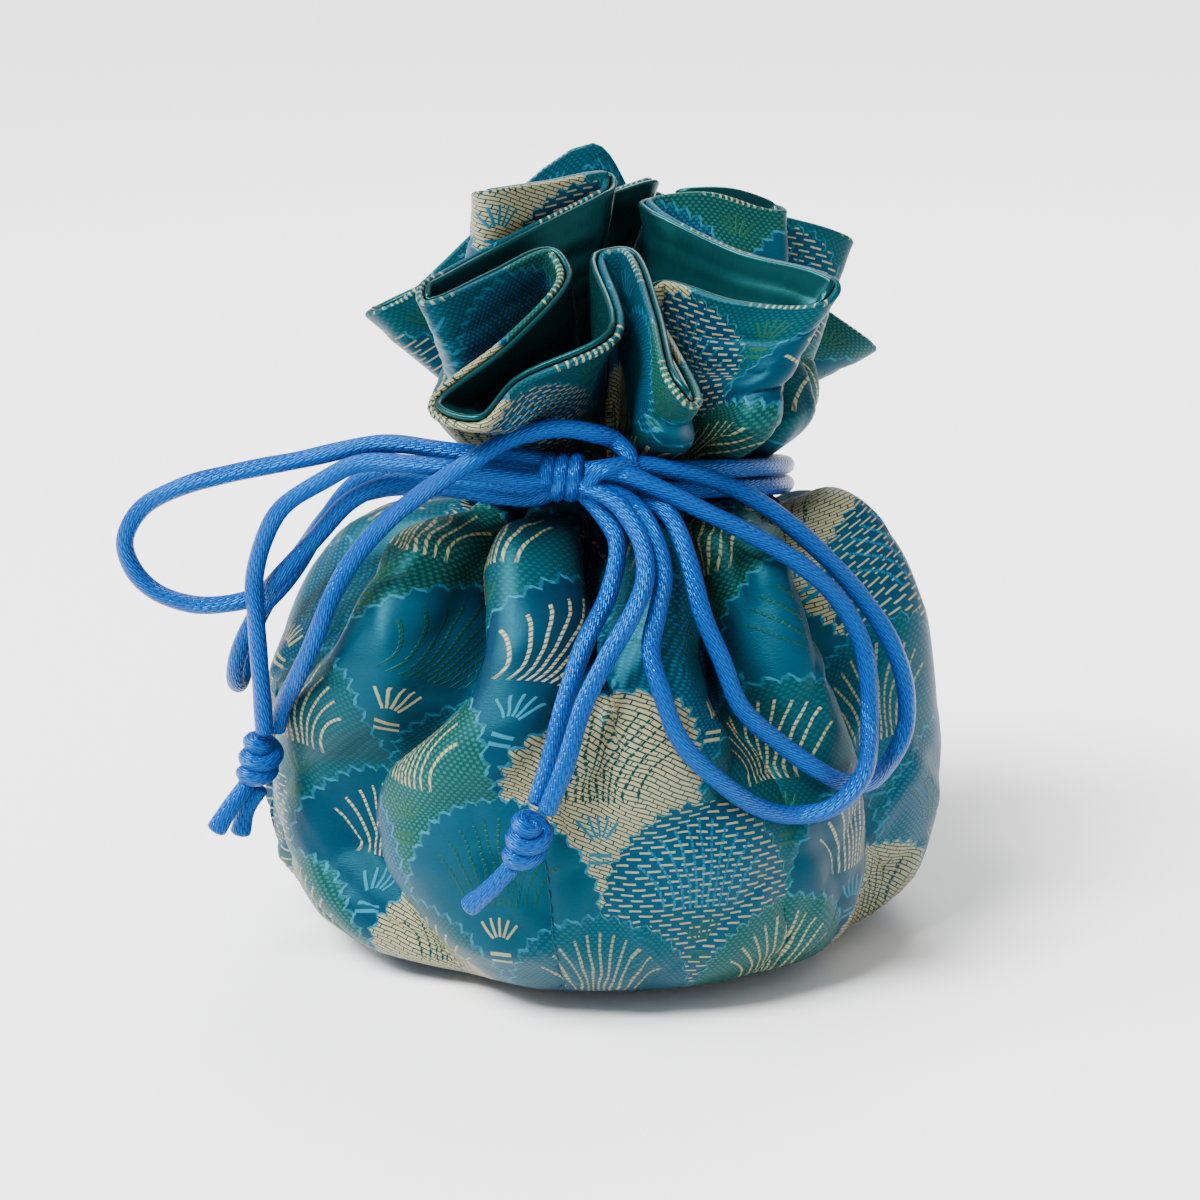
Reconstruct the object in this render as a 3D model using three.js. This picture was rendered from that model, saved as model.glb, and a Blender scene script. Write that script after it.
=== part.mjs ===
// A drawstring reticule: a stuffed round pouch of brocade, gathered at the neck,
// with a pleated ruffle above it, a satin lining that shows in the ruffle,
// and a satin cord wound round the neck and tied in a bow.
// Millimetres, +Z up. The origin is the middle of the flat base, on the table.
// X runs to the right and +Y to the back, seen from the front.
import * as THREE from "three";

// Driving sizes of the cloth.
const BODY_RADIUS = 56;
const NECK_HEIGHT = 78;
const NECK_CENTRE = new THREE.Vector3(4, 0, NECK_HEIGHT);
const NECK_RADIUS = 23.8;
const NECK_HOLE_RADIUS = 10.5;
const NECK_TILT = Math.tan(THREE.MathUtils.degToRad(12));
const HEADER = 46;
const CASING_PUFF = 4;
const NECK_BAND = 3.7;
const BROCADE = 1.2;
const SEAM_GAP = 0.3;
const LINING = 1;

// Upright profile of the pouch, from the base to the neck, once along the crest
// of a pleat and once along the bottom of the valley beside it.
// Reaches are shares of BODY_RADIUS and heights are shares of NECK_HEIGHT.
const BODY_PROFILE = [
  { at: 0.0, ridgeReach: 0.22, ridgeHeight: 0.0, valleyReach: 0.22, valleyHeight: 0.0 },
  { at: 0.1, ridgeReach: 0.48, ridgeHeight: 0.0, valleyReach: 0.48, valleyHeight: 0.0 },
  { at: 0.18, ridgeReach: 0.7, ridgeHeight: 0.018, valleyReach: 0.67, valleyHeight: 0.015 },
  { at: 0.26, ridgeReach: 0.885, ridgeHeight: 0.07, valleyReach: 0.78, valleyHeight: 0.07 },
  { at: 0.36, ridgeReach: 0.97, ridgeHeight: 0.18, valleyReach: 0.86, valleyHeight: 0.18 },
  { at: 0.47, ridgeReach: 0.99, ridgeHeight: 0.34, valleyReach: 0.86, valleyHeight: 0.33 },
  { at: 0.58, ridgeReach: 0.975, ridgeHeight: 0.51, valleyReach: 0.81, valleyHeight: 0.48 },
  { at: 0.69, ridgeReach: 0.91, ridgeHeight: 0.68, valleyReach: 0.71, valleyHeight: 0.62 },
  { at: 0.79, ridgeReach: 0.785, ridgeHeight: 0.825, valleyReach: 0.56, valleyHeight: 0.75 },
  { at: 0.87, ridgeReach: 0.63, ridgeHeight: 0.9, valleyReach: 0.4, valleyHeight: 0.85 },
  { at: 0.94, ridgeReach: 0.49, ridgeHeight: 0.905, valleyReach: 0.26, valleyHeight: 0.9 },
];

// Every fold of the cloth, in order round the pouch: the crests of the pleats
// and the valleys between them. The turns are degrees from the front, positive
// to the right, where the fold passes the neck, the shoulder, the belt and the
// base of the pouch. Depth is the share of the full reach of a crest, or of the
// full depth of a valley. Fade is the share of NECK_HEIGHT at which a valley
// has run out on its way down. Spread is the width of the turn as a share of
// BODY_RADIUS, and lift is how far the shoulder stands up, as a share of
// NECK_HEIGHT.
const BODY_FOLDS = [
  { fold: "A", crest: true, neck: -30, shoulder: -18, belt: -32, base: -12, depth: 1.0, fade: 0, spread: 0.3, lift: 0.01 },
  { fold: "AB", crest: false, neck: -9, shoulder: -3, belt: -6, base: 4, depth: 1.3, fade: 0.6, spread: 0.14, lift: 0 },
  { fold: "B", crest: true, neck: 12, shoulder: 13, belt: 14, base: 20, depth: 1.0, fade: 0, spread: 0.26, lift: 0.01 },
  { fold: "BC", crest: false, neck: 27, shoulder: 28, belt: 34, base: 34, depth: 1.15, fade: 0.36, spread: 0.05, lift: 0 },
  { fold: "C", crest: true, neck: 43, shoulder: 41, belt: 48, base: 48, depth: 0.99, fade: 0, spread: 0.14, lift: 0.02 },
  { fold: "CD", crest: false, neck: 60, shoulder: 56, belt: 60, base: 62, depth: 0.95, fade: -0.1, spread: 0.05, lift: 0 },
  { fold: "D", crest: true, neck: 76, shoulder: 78, belt: 80, base: 80, depth: 1.02, fade: 0, spread: 0.26, lift: 0.09 },
  { fold: "DE", crest: false, neck: 92, shoulder: 97, belt: 98, base: 98, depth: 0.8, fade: 0.35, spread: 0.1, lift: 0 },
  { fold: "E", crest: true, neck: 107, shoulder: 110, belt: 112, base: 112, depth: 1.0, fade: 0, spread: 0.2, lift: 0.04 },
  { fold: "EF", crest: false, neck: 123, shoulder: 125, belt: 126, base: 126, depth: 0.9, fade: 0.2, spread: 0.08, lift: 0 },
  { fold: "F", crest: true, neck: 138, shoulder: 139, belt: 142, base: 142, depth: 1.0, fade: 0, spread: 0.2, lift: 0 },
  { fold: "FG", crest: false, neck: 154, shoulder: 155, belt: 157, base: 157, depth: 0.8, fade: 0.45, spread: 0.1, lift: 0 },
  { fold: "G", crest: true, neck: 171, shoulder: 170, belt: 171, base: 171, depth: 1.0, fade: 0, spread: 0.24, lift: 0 },
  { fold: "GH", crest: false, neck: 189, shoulder: 187, belt: 186, base: 186, depth: 1.0, fade: 0.15, spread: 0.06, lift: 0 },
  { fold: "H", crest: true, neck: 206, shoulder: 204, belt: 202, base: 202, depth: 1.0, fade: 0, spread: 0.2, lift: 0 },
  { fold: "HJ", crest: false, neck: 219, shoulder: 219, belt: 218, base: 218, depth: 0.85, fade: 0.4, spread: 0.1, lift: 0 },
  { fold: "J", crest: true, neck: 234, shoulder: 235, belt: 236, base: 236, depth: 1.0, fade: 0, spread: 0.2, lift: 0 },
  { fold: "JI", crest: false, neck: 249, shoulder: 251, belt: 253, base: 253, depth: 0.85, fade: 0.25, spread: 0.08, lift: 0 },
  { fold: "I", crest: true, neck: 264, shoulder: 268, belt: 270, base: 270, depth: 1.01, fade: 0, spread: 0.24, lift: 0 },
  { fold: "IK", crest: false, neck: 280, shoulder: 292, belt: 276, base: 280, depth: 0.5, fade: 0.5, spread: 0.1, lift: 0 },
  { fold: "K", crest: true, neck: 297, shoulder: 311, belt: 293, base: 308, depth: 1.0, fade: 0, spread: 0.16, lift: 0 },
  { fold: "KA", crest: false, neck: 314, shoulder: 329, belt: 310, base: 331, depth: 1.25, fade: -0.1, spread: 0.05, lift: 0 },
];

// The free edge of the ruffle at the same folds. Turn is degrees from the
// front about the middle of the neck. Reach, rise and width are shares of
// HEADER: out from that middle, up from it, and across the turn. The side
// that leads to the next fold has a point a share sideAt of the way along,
// which is raised and pushed towards the brocade face by the last two shares.
const EDGE_FOLDS = [
  { fold: "A", turn: -27, reach: 1.08, rise: 0.42, width: 0.34, sideAt: 0.42, sideRise: 0, sidePush: 0.24 },
  { fold: "AB", turn: -7, reach: 0.33, rise: 0.88, width: 0.1, sideAt: 0.5, sideRise: 0, sidePush: -0.02 },
  { fold: "B", turn: 11, reach: 1.04, rise: 0.51, width: 0.11, sideAt: 0.5, sideRise: 0, sidePush: 0 },
  { fold: "BC", turn: 22, reach: 0.27, rise: 0.73, width: 0.1, sideAt: 0.5, sideRise: -0.03, sidePush: 0.03 },
  { fold: "C", turn: 59, reach: 0.85, rise: 0.78, width: 0.13, sideAt: 0.5, sideRise: -0.04, sidePush: 0.02 },
  { fold: "CD", turn: 90, reach: 0.09, rise: 0.98, width: 0.13, sideAt: 0.5, sideRise: 0.04, sidePush: 0 },
  { fold: "D", turn: 111, reach: 0.61, rise: 0.92, width: 0.12, sideAt: 0.5, sideRise: 0.03, sidePush: 0 },
  { fold: "DE", turn: 137, reach: 0.35, rise: 0.98, width: 0.1, sideAt: 0.5, sideRise: 0, sidePush: 0 },
  { fold: "E", turn: 120, reach: 0.96, rise: 0.77, width: 0.14, sideAt: 0.5, sideRise: 0, sidePush: 0 },
  { fold: "EF", turn: 151, reach: 0.5, rise: 0.86, width: 0.1, sideAt: 0.5, sideRise: 0, sidePush: 0 },
  { fold: "F", turn: 131, reach: 1.24, rise: 0.31, width: 0.14, sideAt: 0.5, sideRise: 0, sidePush: 0.02 },
  { fold: "FG", turn: 171, reach: 0.6, rise: 0.92, width: 0.1, sideAt: 0.5, sideRise: 0, sidePush: 0 },
  { fold: "G", turn: 163, reach: 0.95, rise: 0.72, width: 0.14, sideAt: 0.5, sideRise: 0, sidePush: 0 },
  { fold: "GH", turn: 195, reach: 0.56, rise: 0.84, width: 0.1, sideAt: 0.5, sideRise: 0, sidePush: 0 },
  { fold: "H", turn: 205, reach: 0.93, rise: 0.68, width: 0.14, sideAt: 0.5, sideRise: 0, sidePush: 0.02 },
  { fold: "HJ", turn: 208, reach: 0.64, rise: 0.80, width: 0.1, sideAt: 0.5, sideRise: 0, sidePush: 0 },
  { fold: "J", turn: 248, reach: 0.97, rise: 0.53, width: 0.16, sideAt: 0.82, sideRise: 0.27, sidePush: 0.02 },
  { fold: "JI", turn: 167, reach: 0.37, rise: 0.98, width: 0.12, sideAt: 0.5, sideRise: -0.05, sidePush: 0 },
  { fold: "I", turn: 275, reach: 0.52, rise: 1.03, width: 0.14, sideAt: 0.5, sideRise: 0, sidePush: 0 },
  { fold: "IK", turn: 222, reach: 0.09, rise: 1.04, width: 0.12, sideAt: 0.5, sideRise: 0, sidePush: 0 },
  { fold: "K", turn: 302, reach: 0.82, rise: 0.78, width: 0.15, sideAt: 0.5, sideRise: 0, sidePush: 0.01 },
  { fold: "KA", turn: 326, reach: 0.39, rise: 0.83, width: 0.16, sideAt: 0.5, sideRise: 0, sidePush: -0.03 },
];

// The satin cord is 3 mm thick. Its middle line is given by points in
// millimetres, from the bow at the front of the neck outwards. The loops and
// tails start beside the bow knot and lie on, or hang in front of, the pouch.
const CORD = 3;
const CORD_GAP = 0.3;
const CORD_STEP = 3.2 * CORD;
const CORD_SIDES = 8;
const CORD_ROUTES = {
  loop_left_long: [
    [-10.4, -32, 88.2], [-17.5, -31, 88.6], [-24.3, -30, 89.2], [-34.4, -28, 89.9],
    [-48.4, -25, 86.5], [-59.2, -24, 84.1], [-67.3, -24, 81.9], [-74.4, -23, 77.8],
    [-77.2, -23, 72.5], [-76, -23, 67.7], [-72.6, -23, 64], [-66.8, -23, 61.8],
    [-61.4, -23, 61.8], [-55.4, -23, 63.4], [-51.6, -25, 67.5], [-46, -25, 73.5],
    [-40.4, -26, 79.8], [-35, -27, 82.7], [-26.9, -28, 83.9], [-18.4, -29, 83.8],
    [-10.4, -31, 84],
  ],
  loop_left_short: [
    [-10.4, -28, 86], [-20.9, -25, 85.6], [-31.8, -21, 83.8], [-39.1, -18, 81.4],
    [-45.1, -17, 74.4], [-51, -16, 64.8], [-57, -15, 57.6], [-60.3, -14, 50.4],
    [-61, -11, 44.7], [-60.5, -7.5, 45.4], [-59, -7, 51.1], [-55.5, -8, 58.4],
    [-49.1, -9, 67.7], [-43, -12, 75.8], [-36, -16, 79.4], [-25.9, -22, 81.2],
    [-16.1, -26, 80.8], [-10.4, -28, 81.1],
  ],
  tail_left_1: [
    [-10.4, -35.3, 85.8], [-20.6, -34.4, 87], [-31.1, -32, 87.6], [-38.6, -30, 87.1],
    [-44.1, -29, 84.2], [-51.1, -28, 79.3], [-54.3, -27, 73.5], [-56, -27, 66.7],
    [-55.8, -27.5, 61.1], [-55.4, -28, 53.8], [-55.1, -28, 47.3], [-54.9, -28, 41.6],
  ],
  tail_left_2: [
    [2.2, -31, 91.2], [-0.3, -32.5, 92.5], [-6.2, -34, 93.8], [-13.4, -36, 92.9],
    [-20.6, -38.4, 89.3], [-29.2, -34.8, 82.7], [-34.8, -32, 77.4], [-40.3, -31, 70.5],
    [-43.5, -32, 64.7], [-45.9, -32, 58.7], [-49.1, -30, 51.5], [-51.9, -26, 45.3],
    [-53.1, -24.8, 41.1],
  ],
  loop_right_outer: [
    [5.5, -32, 83.2], [10.9, -36, 80.2], [13.9, -41, 74.3], [16.1, -45, 66.5],
    [19.2, -47, 59.4], [22.2, -48, 52.1], [28.9, -46, 45.2], [34, -45.2, 41.2],
    [38.7, -42.2, 37.8], [43.2, -38.4, 36.4], [47.4, -32, 38.3], [49.8, -29, 42.5],
    [49.8, -28, 48.8], [47.7, -28, 55.8], [43, -28, 63.5], [34.4, -30, 73.5],
    [26.2, -30, 80.3], [18, -30, 84.5], [11, -31, 86.4], [6.9, -31.5, 87.2],
  ],
  loop_right_inner: [
    [5.8, -36.4, 81.4], [8.7, -40.7, 77.4], [9.9, -44.5, 72.6], [9, -48, 67.9],
    [7.9, -51.5, 62.6], [9.5, -54.5, 56.8], [12.6, -55.5, 48.9], [19.1, -53.5, 41.4],
    [25.7, -50, 35.9], [31.3, -47.5, 34], [37.2, -47.6, 35.5], [41.9, -44.2, 39.6],
    [43.4, -36, 46.1], [42.4, -33, 57.3], [38.6, -32.5, 64.8], [32.2, -34, 71.4],
    [24, -35, 76.8], [15.8, -35.2, 81], [8.9, -35.5, 84.6],
  ],
  tail_right_1: [
    [0, -35, 80.6], [2.7, -38.5, 76.5], [1.4, -43, 69.4], [-2.3, -49, 63.1],
    [-5.4, -54, 55.2], [-8.4, -57.8, 44.3], [-9.8, -59.2, 40.3],
  ],
  tail_right_2: [
    [2.2, -37.5, 82.9], [4.6, -40, 80.6], [6.6, -43.6, 77.2], [7, -47.4, 72.8],
    [5, -51.2, 68.3], [0.9, -54.8, 61.9], [-2.6, -57.4, 55.2], [-5.6, -60.6, 46],
    [-8.2, -61.9, 39.8],
  ],
  stub_left_1: [[-58.1, -27.8, 32.2], [-61, -29, 28.4], [-63, -29.4, 25.2]],
  stub_left_2: [[-56.2, -25.5, 30.8], [-58.4, -25.6, 27.4], [-59.5, -25.8, 23.4]],
  stub_right: [[-13.7, -60.4, 30], [-17.6, -59.6, 25.6], [-20.4, -58.4, 22.8]],
};

const smooth = (x) => THREE.MathUtils.smoothstep(x, 0, 1);
const mix = THREE.MathUtils.lerp;

// A steady curve through one named column of a table.
function column(rows, name, at) {
  const last = rows.length - 1;
  let row = 0;
  while (row < last - 1 && at > rows[row + 1].at) {
    row += 1;
  }
  const slope = (i) => (rows[i + 1][name] - rows[i][name]) / (rows[i + 1].at - rows[i].at);
  const bend = (i) => {
    if (i === 0 || i === last) {
      return slope(Math.min(i, last - 1));
    }
    const below = slope(i - 1);
    const above = slope(i);
    return below * above <= 0 ? 0 : (2 * below * above) / (below + above);
  };
  const span = rows[row + 1].at - rows[row].at;
  const t = Math.min(Math.max((at - rows[row].at) / span, 0), 1);
  const t2 = t * t;
  const t3 = t2 * t;
  return (
    (2 * t3 - 3 * t2 + 1) * rows[row][name] +
    (t3 - 2 * t2 + t) * span * bend(row) +
    (3 * t2 - 2 * t3) * rows[row + 1][name] +
    (t3 - t2) * span * bend(row + 1)
  );
}

// A point at a turn from the front, a reach out and a height up.
function around(turn, reach, height, centre) {
  const angle = THREE.MathUtils.degToRad(turn);
  return new THREE.Vector3(
    centre.x + reach * Math.sin(angle),
    centre.y - reach * Math.cos(angle),
    centre.z + height,
  );
}

// Where one fold runs at the neck, so far above the middle of the wrap.
function neckFold(fold, rise) {
  const reach = fold.crest ? NECK_RADIUS : NECK_HOLE_RADIUS;
  const point = around(fold.neck, reach, rise, NECK_CENTRE);
  point.z -= point.y * NECK_TILT;
  return { point, width: (fold.crest ? 0.3 : 0.13) * NECK_RADIUS };
}

// Where one fold runs on the body, between the base and the neck.
function bodyFold(fold, at) {
  const top = BODY_PROFILE[BODY_PROFILE.length - 1].at;
  const level = {};
  for (const name of ["ridgeReach", "ridgeHeight", "valleyReach", "valleyHeight"]) {
    level[name] = column(BODY_PROFILE, name, Math.min(at, top));
  }
  const toBelt = smooth((at - 0.2) / 0.3);
  const toShoulder = smooth((at - 0.5) / 0.22);
  const toNeck = smooth((at - 0.72) / 0.28);
  const turn = mix(mix(mix(fold.base, fold.belt, toBelt), fold.shoulder, toShoulder), fold.neck, toNeck);
  const cut = smooth((level.ridgeHeight - fold.fade) / 0.3) * mix(fold.depth, 1, toNeck);
  const reach = fold.crest
    ? level.ridgeReach * mix(1, mix(fold.depth, 1, toNeck), toBelt)
    : mix(level.ridgeReach * mix(1, 0.985, toBelt), level.valleyReach, cut);
  const stand = fold.lift * Math.sin(Math.PI * THREE.MathUtils.clamp((at - 0.56) / 0.36, 0, 1));
  const height = fold.crest
    ? level.ridgeHeight + stand
    : mix(level.ridgeHeight, level.valleyHeight, cut);
  const centre = new THREE.Vector3(NECK_CENTRE.x * toNeck, 0, BROCADE);
  const point = around(turn, reach * BODY_RADIUS, height * NECK_HEIGHT, centre);
  point.z -= point.y * NECK_TILT * toNeck;
  const neck = neckFold(fold, -NECK_BAND);
  point.lerp(neck.point, smooth((at - top) / (1 - top)));
  const spread = fold.spread * BODY_RADIUS * mix(level.ridgeReach, 1, toBelt);
  return { point, width: mix(spread, neck.width, toNeck), round: 1 - toNeck, sideAt: 0.5 };
}

// Where one fold runs in the ruffle, from the neck at 1 to the free edge at 2.
function ruffleFold(fold, edge, at) {
  const band = 0.12;
  const bottom = neckFold(fold, -NECK_BAND);
  const top = neckFold(fold, NECK_BAND);
  if (at - 1 <= band) {
    const point = bottom.point.clone().lerp(top.point, (at - 1) / band);
    return { point, width: bottom.width, round: 0, sideAt: 0.5, rise: 0, push: 0 };
  }
  const t = (at - 1 - band) / (1 - band);
  const end = around(edge.turn, edge.reach * HEADER, edge.rise * HEADER, NECK_CENTRE);
  const away = top.point.clone().sub(NECK_CENTRE).setZ(0).normalize();
  const leave = away.clone().multiplyScalar(fold.crest ? 0.5 * HEADER : 0);
  leave.z = HEADER * 0.6;
  const arrive = end.clone().sub(top.point).multiplyScalar(0.9);
  const t2 = t * t;
  const t3 = t2 * t;
  const point = top.point.clone().multiplyScalar(2 * t3 - 3 * t2 + 1);
  point.addScaledVector(leave, t3 - 2 * t2 + t);
  point.addScaledVector(end, 3 * t2 - 2 * t3);
  point.addScaledVector(arrive, t3 - t2);
  const puff = fold.crest ? CASING_PUFF * Math.sin(Math.PI * Math.min(t / 0.45, 1)) : 0;
  point.addScaledVector(away, puff);
  return {
    point,
    width: mix(top.width, edge.width * HEADER, smooth(t)),
    round: 0,
    sideAt: mix(0.5, edge.sideAt, smooth(t)),
    rise: edge.sideRise * HEADER * t2,
    push: edge.sidePush * HEADER * t2,
  };
}

// The closed curve of the cloth at one level: three points at every fold, so
// that each turn is round and as wide as its table row says, and one on the
// side that leads to the next fold.
function ring(at) {
  const folds = BODY_FOLDS.map((fold, i) =>
    at < 1 ? bodyFold(fold, at) : ruffleFold(fold, EDGE_FOLDS[i], at),
  );
  const count = folds.length;
  const turns = folds.map(({ point, width }, i) => {
    const before = folds[(i + count - 1) % count].point;
    const after = folds[(i + 1) % count].point;
    const across = after.clone().sub(before);
    const halfSpan = Math.max(across.length() / 2, 0.1);
    across.normalize();
    const out = point.clone().sub(before.clone().lerp(after, 0.5));
    out.addScaledVector(across, -out.dot(across));
    const depth = out.length();
    out.normalize();
    const half = Math.min(width / 2, halfSpan * 1.6);
    const drop = Math.min(half, depth * Math.min((half / halfSpan) ** 2, 1));
    const back = point.clone().addScaledVector(out, -drop);
    const room = (other) => (at < 1 ? Math.min(half, 0.45 * point.distanceTo(other)) : half);
    const first = back.clone().addScaledVector(across, -room(before));
    const last = back.clone().addScaledVector(across, room(after));
    return [first, point, last];
  });
  const points = [];
  turns.forEach((turn, i) => {
    const next = turns[(i + 1) % count][0];
    const side = turn[2].clone().lerp(next, folds[i].sideAt);
    const flat = Math.hypot(side.x, side.y);
    const arc = (Math.hypot(turn[2].x, turn[2].y) + Math.hypot(next.x, next.y)) / 2;
    const scale = mix(1, arc / Math.max(flat, 1), folds[i].round);
    side.x *= scale;
    side.y *= scale;
    if (at > 1) {
      const along = next.clone().sub(turn[2]).setZ(0).normalize();
      side.addScaledVector(new THREE.Vector3(along.y, -along.x, 0), folds[i].push);
      side.z += folds[i].rise;
    }
    points.push(...turn, side);
  });
  return new THREE.CatmullRomCurve3(points, true, "centripetal");
}

// Steps round the cloth: the ends and middle of every turn, and every side.
const STEPS = [0, 0.5, 1, 1.5, 2, 3, 4, 5, 6, 7];
const PLEATS = BODY_FOLDS.length / 2;
const AROUND = PLEATS * STEPS.length;
const shares = Array.from({ length: AROUND }, (_, i) => {
  const pleat = Math.floor(i / STEPS.length);
  return (pleat * 8 + STEPS[i % STEPS.length]) / (PLEATS * 8);
});

// One row of cloth points at a level, between two columns of steps, moved out
// from the seam face by a depth. An open row stops half a seam gap short of
// each of its ends.
function row(at, depth, first, last) {
  const small = 0.004;
  const low = Math.max(at - small, 0);
  const high = Math.min(at + small, 2);
  const [below, above, curve] = [ring(low), ring(high), ring(at)];
  const open = last - first < AROUND;
  const points = [];
  for (let i = first; i < last + (open ? 1 : 0); i += 1) {
    const share = shares[i % AROUND];
    const along = curve.getPoint((share + 0.0008) % 1);
    along.sub(curve.getPoint((share + 0.9992) % 1)).normalize();
    const up = above.getPoint(share).sub(below.getPoint(share));
    const normal = along.clone().cross(up).normalize();
    const point = curve.getPoint(share).addScaledVector(normal, depth);
    if (open && (i === first || i === last)) {
      point.addScaledVector(along, (i === first ? 1 : -1) * (SEAM_GAP / 2));
    }
    points.push(point);
  }
  return points;
}

// A square of cloth, cut along its shorter diagonal.
function pushSquare(points, index, corners) {
  const rising = points[corners[0]].distanceTo(points[corners[2]]);
  const falling = points[corners[1]].distanceTo(points[corners[3]]);
  if (falling < rising) {
    corners.push(corners.shift());
  }
  index.push(corners[0], corners[1], corners[2], corners[0], corners[2], corners[3]);
}

// A cloth wall between two depths through a list of levels. It goes from one
// column of steps to another, and where those are the same, right round.
function clothWall(levels, outer, inner, first = 0, last = AROUND) {
  const open = last - first < AROUND;
  const count = last - first + (open ? 1 : 0);
  const total = levels.length;
  const points = [];
  for (const depth of [outer, inner]) {
    for (const at of levels) {
      points.push(...row(at, depth, first, last));
    }
  }
  const spot = (line, i) => line * count + (i % count);
  const index = [];
  for (let i = 0; i < last - first; i += 1) {
    for (let line = 0; line + 1 < total; line += 1) {
      pushSquare(points, index, [
        spot(line, i), spot(line, i + 1), spot(line + 1, i + 1), spot(line + 1, i),
      ]);
      const back = line + total;
      pushSquare(points, index, [
        spot(back, i + 1), spot(back, i), spot(back + 1, i), spot(back + 1, i + 1),
      ]);
    }
    const top = total - 1;
    pushSquare(points, index, [
      spot(top, i), spot(top, i + 1), spot(top + total, i + 1), spot(top + total, i),
    ]);
    pushSquare(points, index, [
      spot(total, i), spot(total, i + 1), spot(0, i + 1), spot(0, i),
    ]);
  }
  for (let line = 0; open && line + 1 < total; line += 1) {
    const end = count - 1;
    const back = line + total;
    pushSquare(points, index, [
      spot(line, end), spot(back, end), spot(back + 1, end), spot(line + 1, end),
    ]);
    pushSquare(points, index, [
      spot(back, 0), spot(line, 0), spot(line + 1, 0), spot(back + 1, 0),
    ]);
  }
  const geometry = new THREE.BufferGeometry();
  geometry.setFromPoints(points);
  geometry.setIndex(index);
  geometry.computeVertexNormals();
  return geometry;
}

// The round base: a flat panel of the same cloth, a seam gap inside the walls.
function basePanel() {
  const rim = ring(BODY_LEVELS[0]);
  const outline = new THREE.Shape(
    shares.filter((_, i) => i % 2 === 0).map((share) => {
      const point = rim.getPoint(share);
      const flat = new THREE.Vector2(point.x, point.y);
      return flat.setLength(flat.length() - SEAM_GAP);
    }),
  );
  return new THREE.ExtrudeGeometry(outline, { depth: BROCADE, bevelEnabled: false });
}

const brocade = new THREE.MeshStandardMaterial({ color: "#1f7089", roughness: 0.55, metalness: 0 });
const satin = new THREE.MeshStandardMaterial({ color: "#0f7f86", roughness: 0.35, metalness: 0 });

const BODY_LEVELS = [0.1, 0.18, 0.26, 0.36, 0.47, 0.58, 0.69, 0.79, 0.87, 0.94, 0.985];
const RUFFLE_LEVELS = [1.02, 1.12, 1.3, 1.52, 1.76, 2];
const LINING_LEVELS = RUFFLE_LEVELS.slice(2);

// The four wall panels, each from its first seam to its last, in columns of
// steps. The first seam shows at the front.
const PANELS = [
  { name: "panel_right_front", first: 9, last: 42 },
  { name: "panel_right_back", first: 42, last: 62 },
  { name: "panel_left_back", first: 62, last: 82 },
  { name: "panel_left_front", first: 82, last: 119 },
];

const cordSatin = new THREE.MeshStandardMaterial({ color: "#0f6fd0", roughness: 0.35, metalness: 0 });

// A round cord along a smooth curve.
function cord(name, curve, step) {
  const outline = new THREE.Shape();
  outline.absarc(0, 0, CORD / 2, 0, 2 * Math.PI, false);
  const geometry = new THREE.ExtrudeGeometry(outline, {
    steps: Math.max(Math.round(curve.getLength() / step), 3),
    curveSegments: CORD_SIDES / 2,
    extrudePath: curve,
    bevelEnabled: false,
  });
  const mesh = new THREE.Mesh(geometry, cordSatin);
  mesh.name = name;
  return mesh;
}

// The cord round the gathered neck: two turns, one above the other, which
// change over behind the bow knot.
function neckCord(name) {
  const reach = NECK_RADIUS + BROCADE + CORD_GAP + CORD / 2 + 0.4;
  const half = (CORD + CORD_GAP) / 2;
  const points = [];
  for (let turn = 6; turn <= 690; turn += 12) {
    const rise = mix(-half, half, smooth((turn - 330) / 36));
    const point = around(turn, reach, rise, NECK_CENTRE);
    point.z -= point.y * NECK_TILT;
    points.push(point);
  }
  return cord(name, new THREE.CatmullRomCurve3(points), CORD_STEP);
}

// A knot: turns of the cord wound about an axis, drawn as one tight coil.
function knot(name, centre, axis, turns, reach) {
  const along = axis.clone().normalize();
  const side = new THREE.Vector3(0, 1, 0).cross(along).normalize();
  const front = along.clone().cross(side);
  const points = [];
  const parts = turns * 8;
  for (let i = 0; i <= parts; i += 1) {
    const angle = (2 * Math.PI * i) / 8;
    const place = centre.clone();
    place.addScaledVector(along, (i / parts - 0.5) * turns * (CORD + CORD_GAP));
    place.addScaledVector(side, reach * Math.sin(angle));
    place.addScaledVector(front, reach * Math.cos(angle));
    points.push(place);
  }
  return cord(name, new THREE.CatmullRomCurve3(points), 0.7 * CORD);
}

const reticule = new THREE.Group();
const base = new THREE.Mesh(basePanel(), brocade);
base.name = "base_panel";
reticule.add(base);
for (const { name, first, last } of PANELS) {
  const panel = new THREE.Mesh(clothWall(BODY_LEVELS, BROCADE, 0, first, last), brocade);
  panel.name = name;
  reticule.add(panel);
}

const frill = new THREE.Mesh(clothWall(RUFFLE_LEVELS, BROCADE, 0), brocade);
frill.name = "brocade_ruffle";
reticule.add(frill);

const sleeve = clothWall(LINING_LEVELS, -SEAM_GAP, -SEAM_GAP - LINING);
const lining = new THREE.Mesh(sleeve, satin);
lining.name = "satin_lining";
reticule.add(lining);

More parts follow.
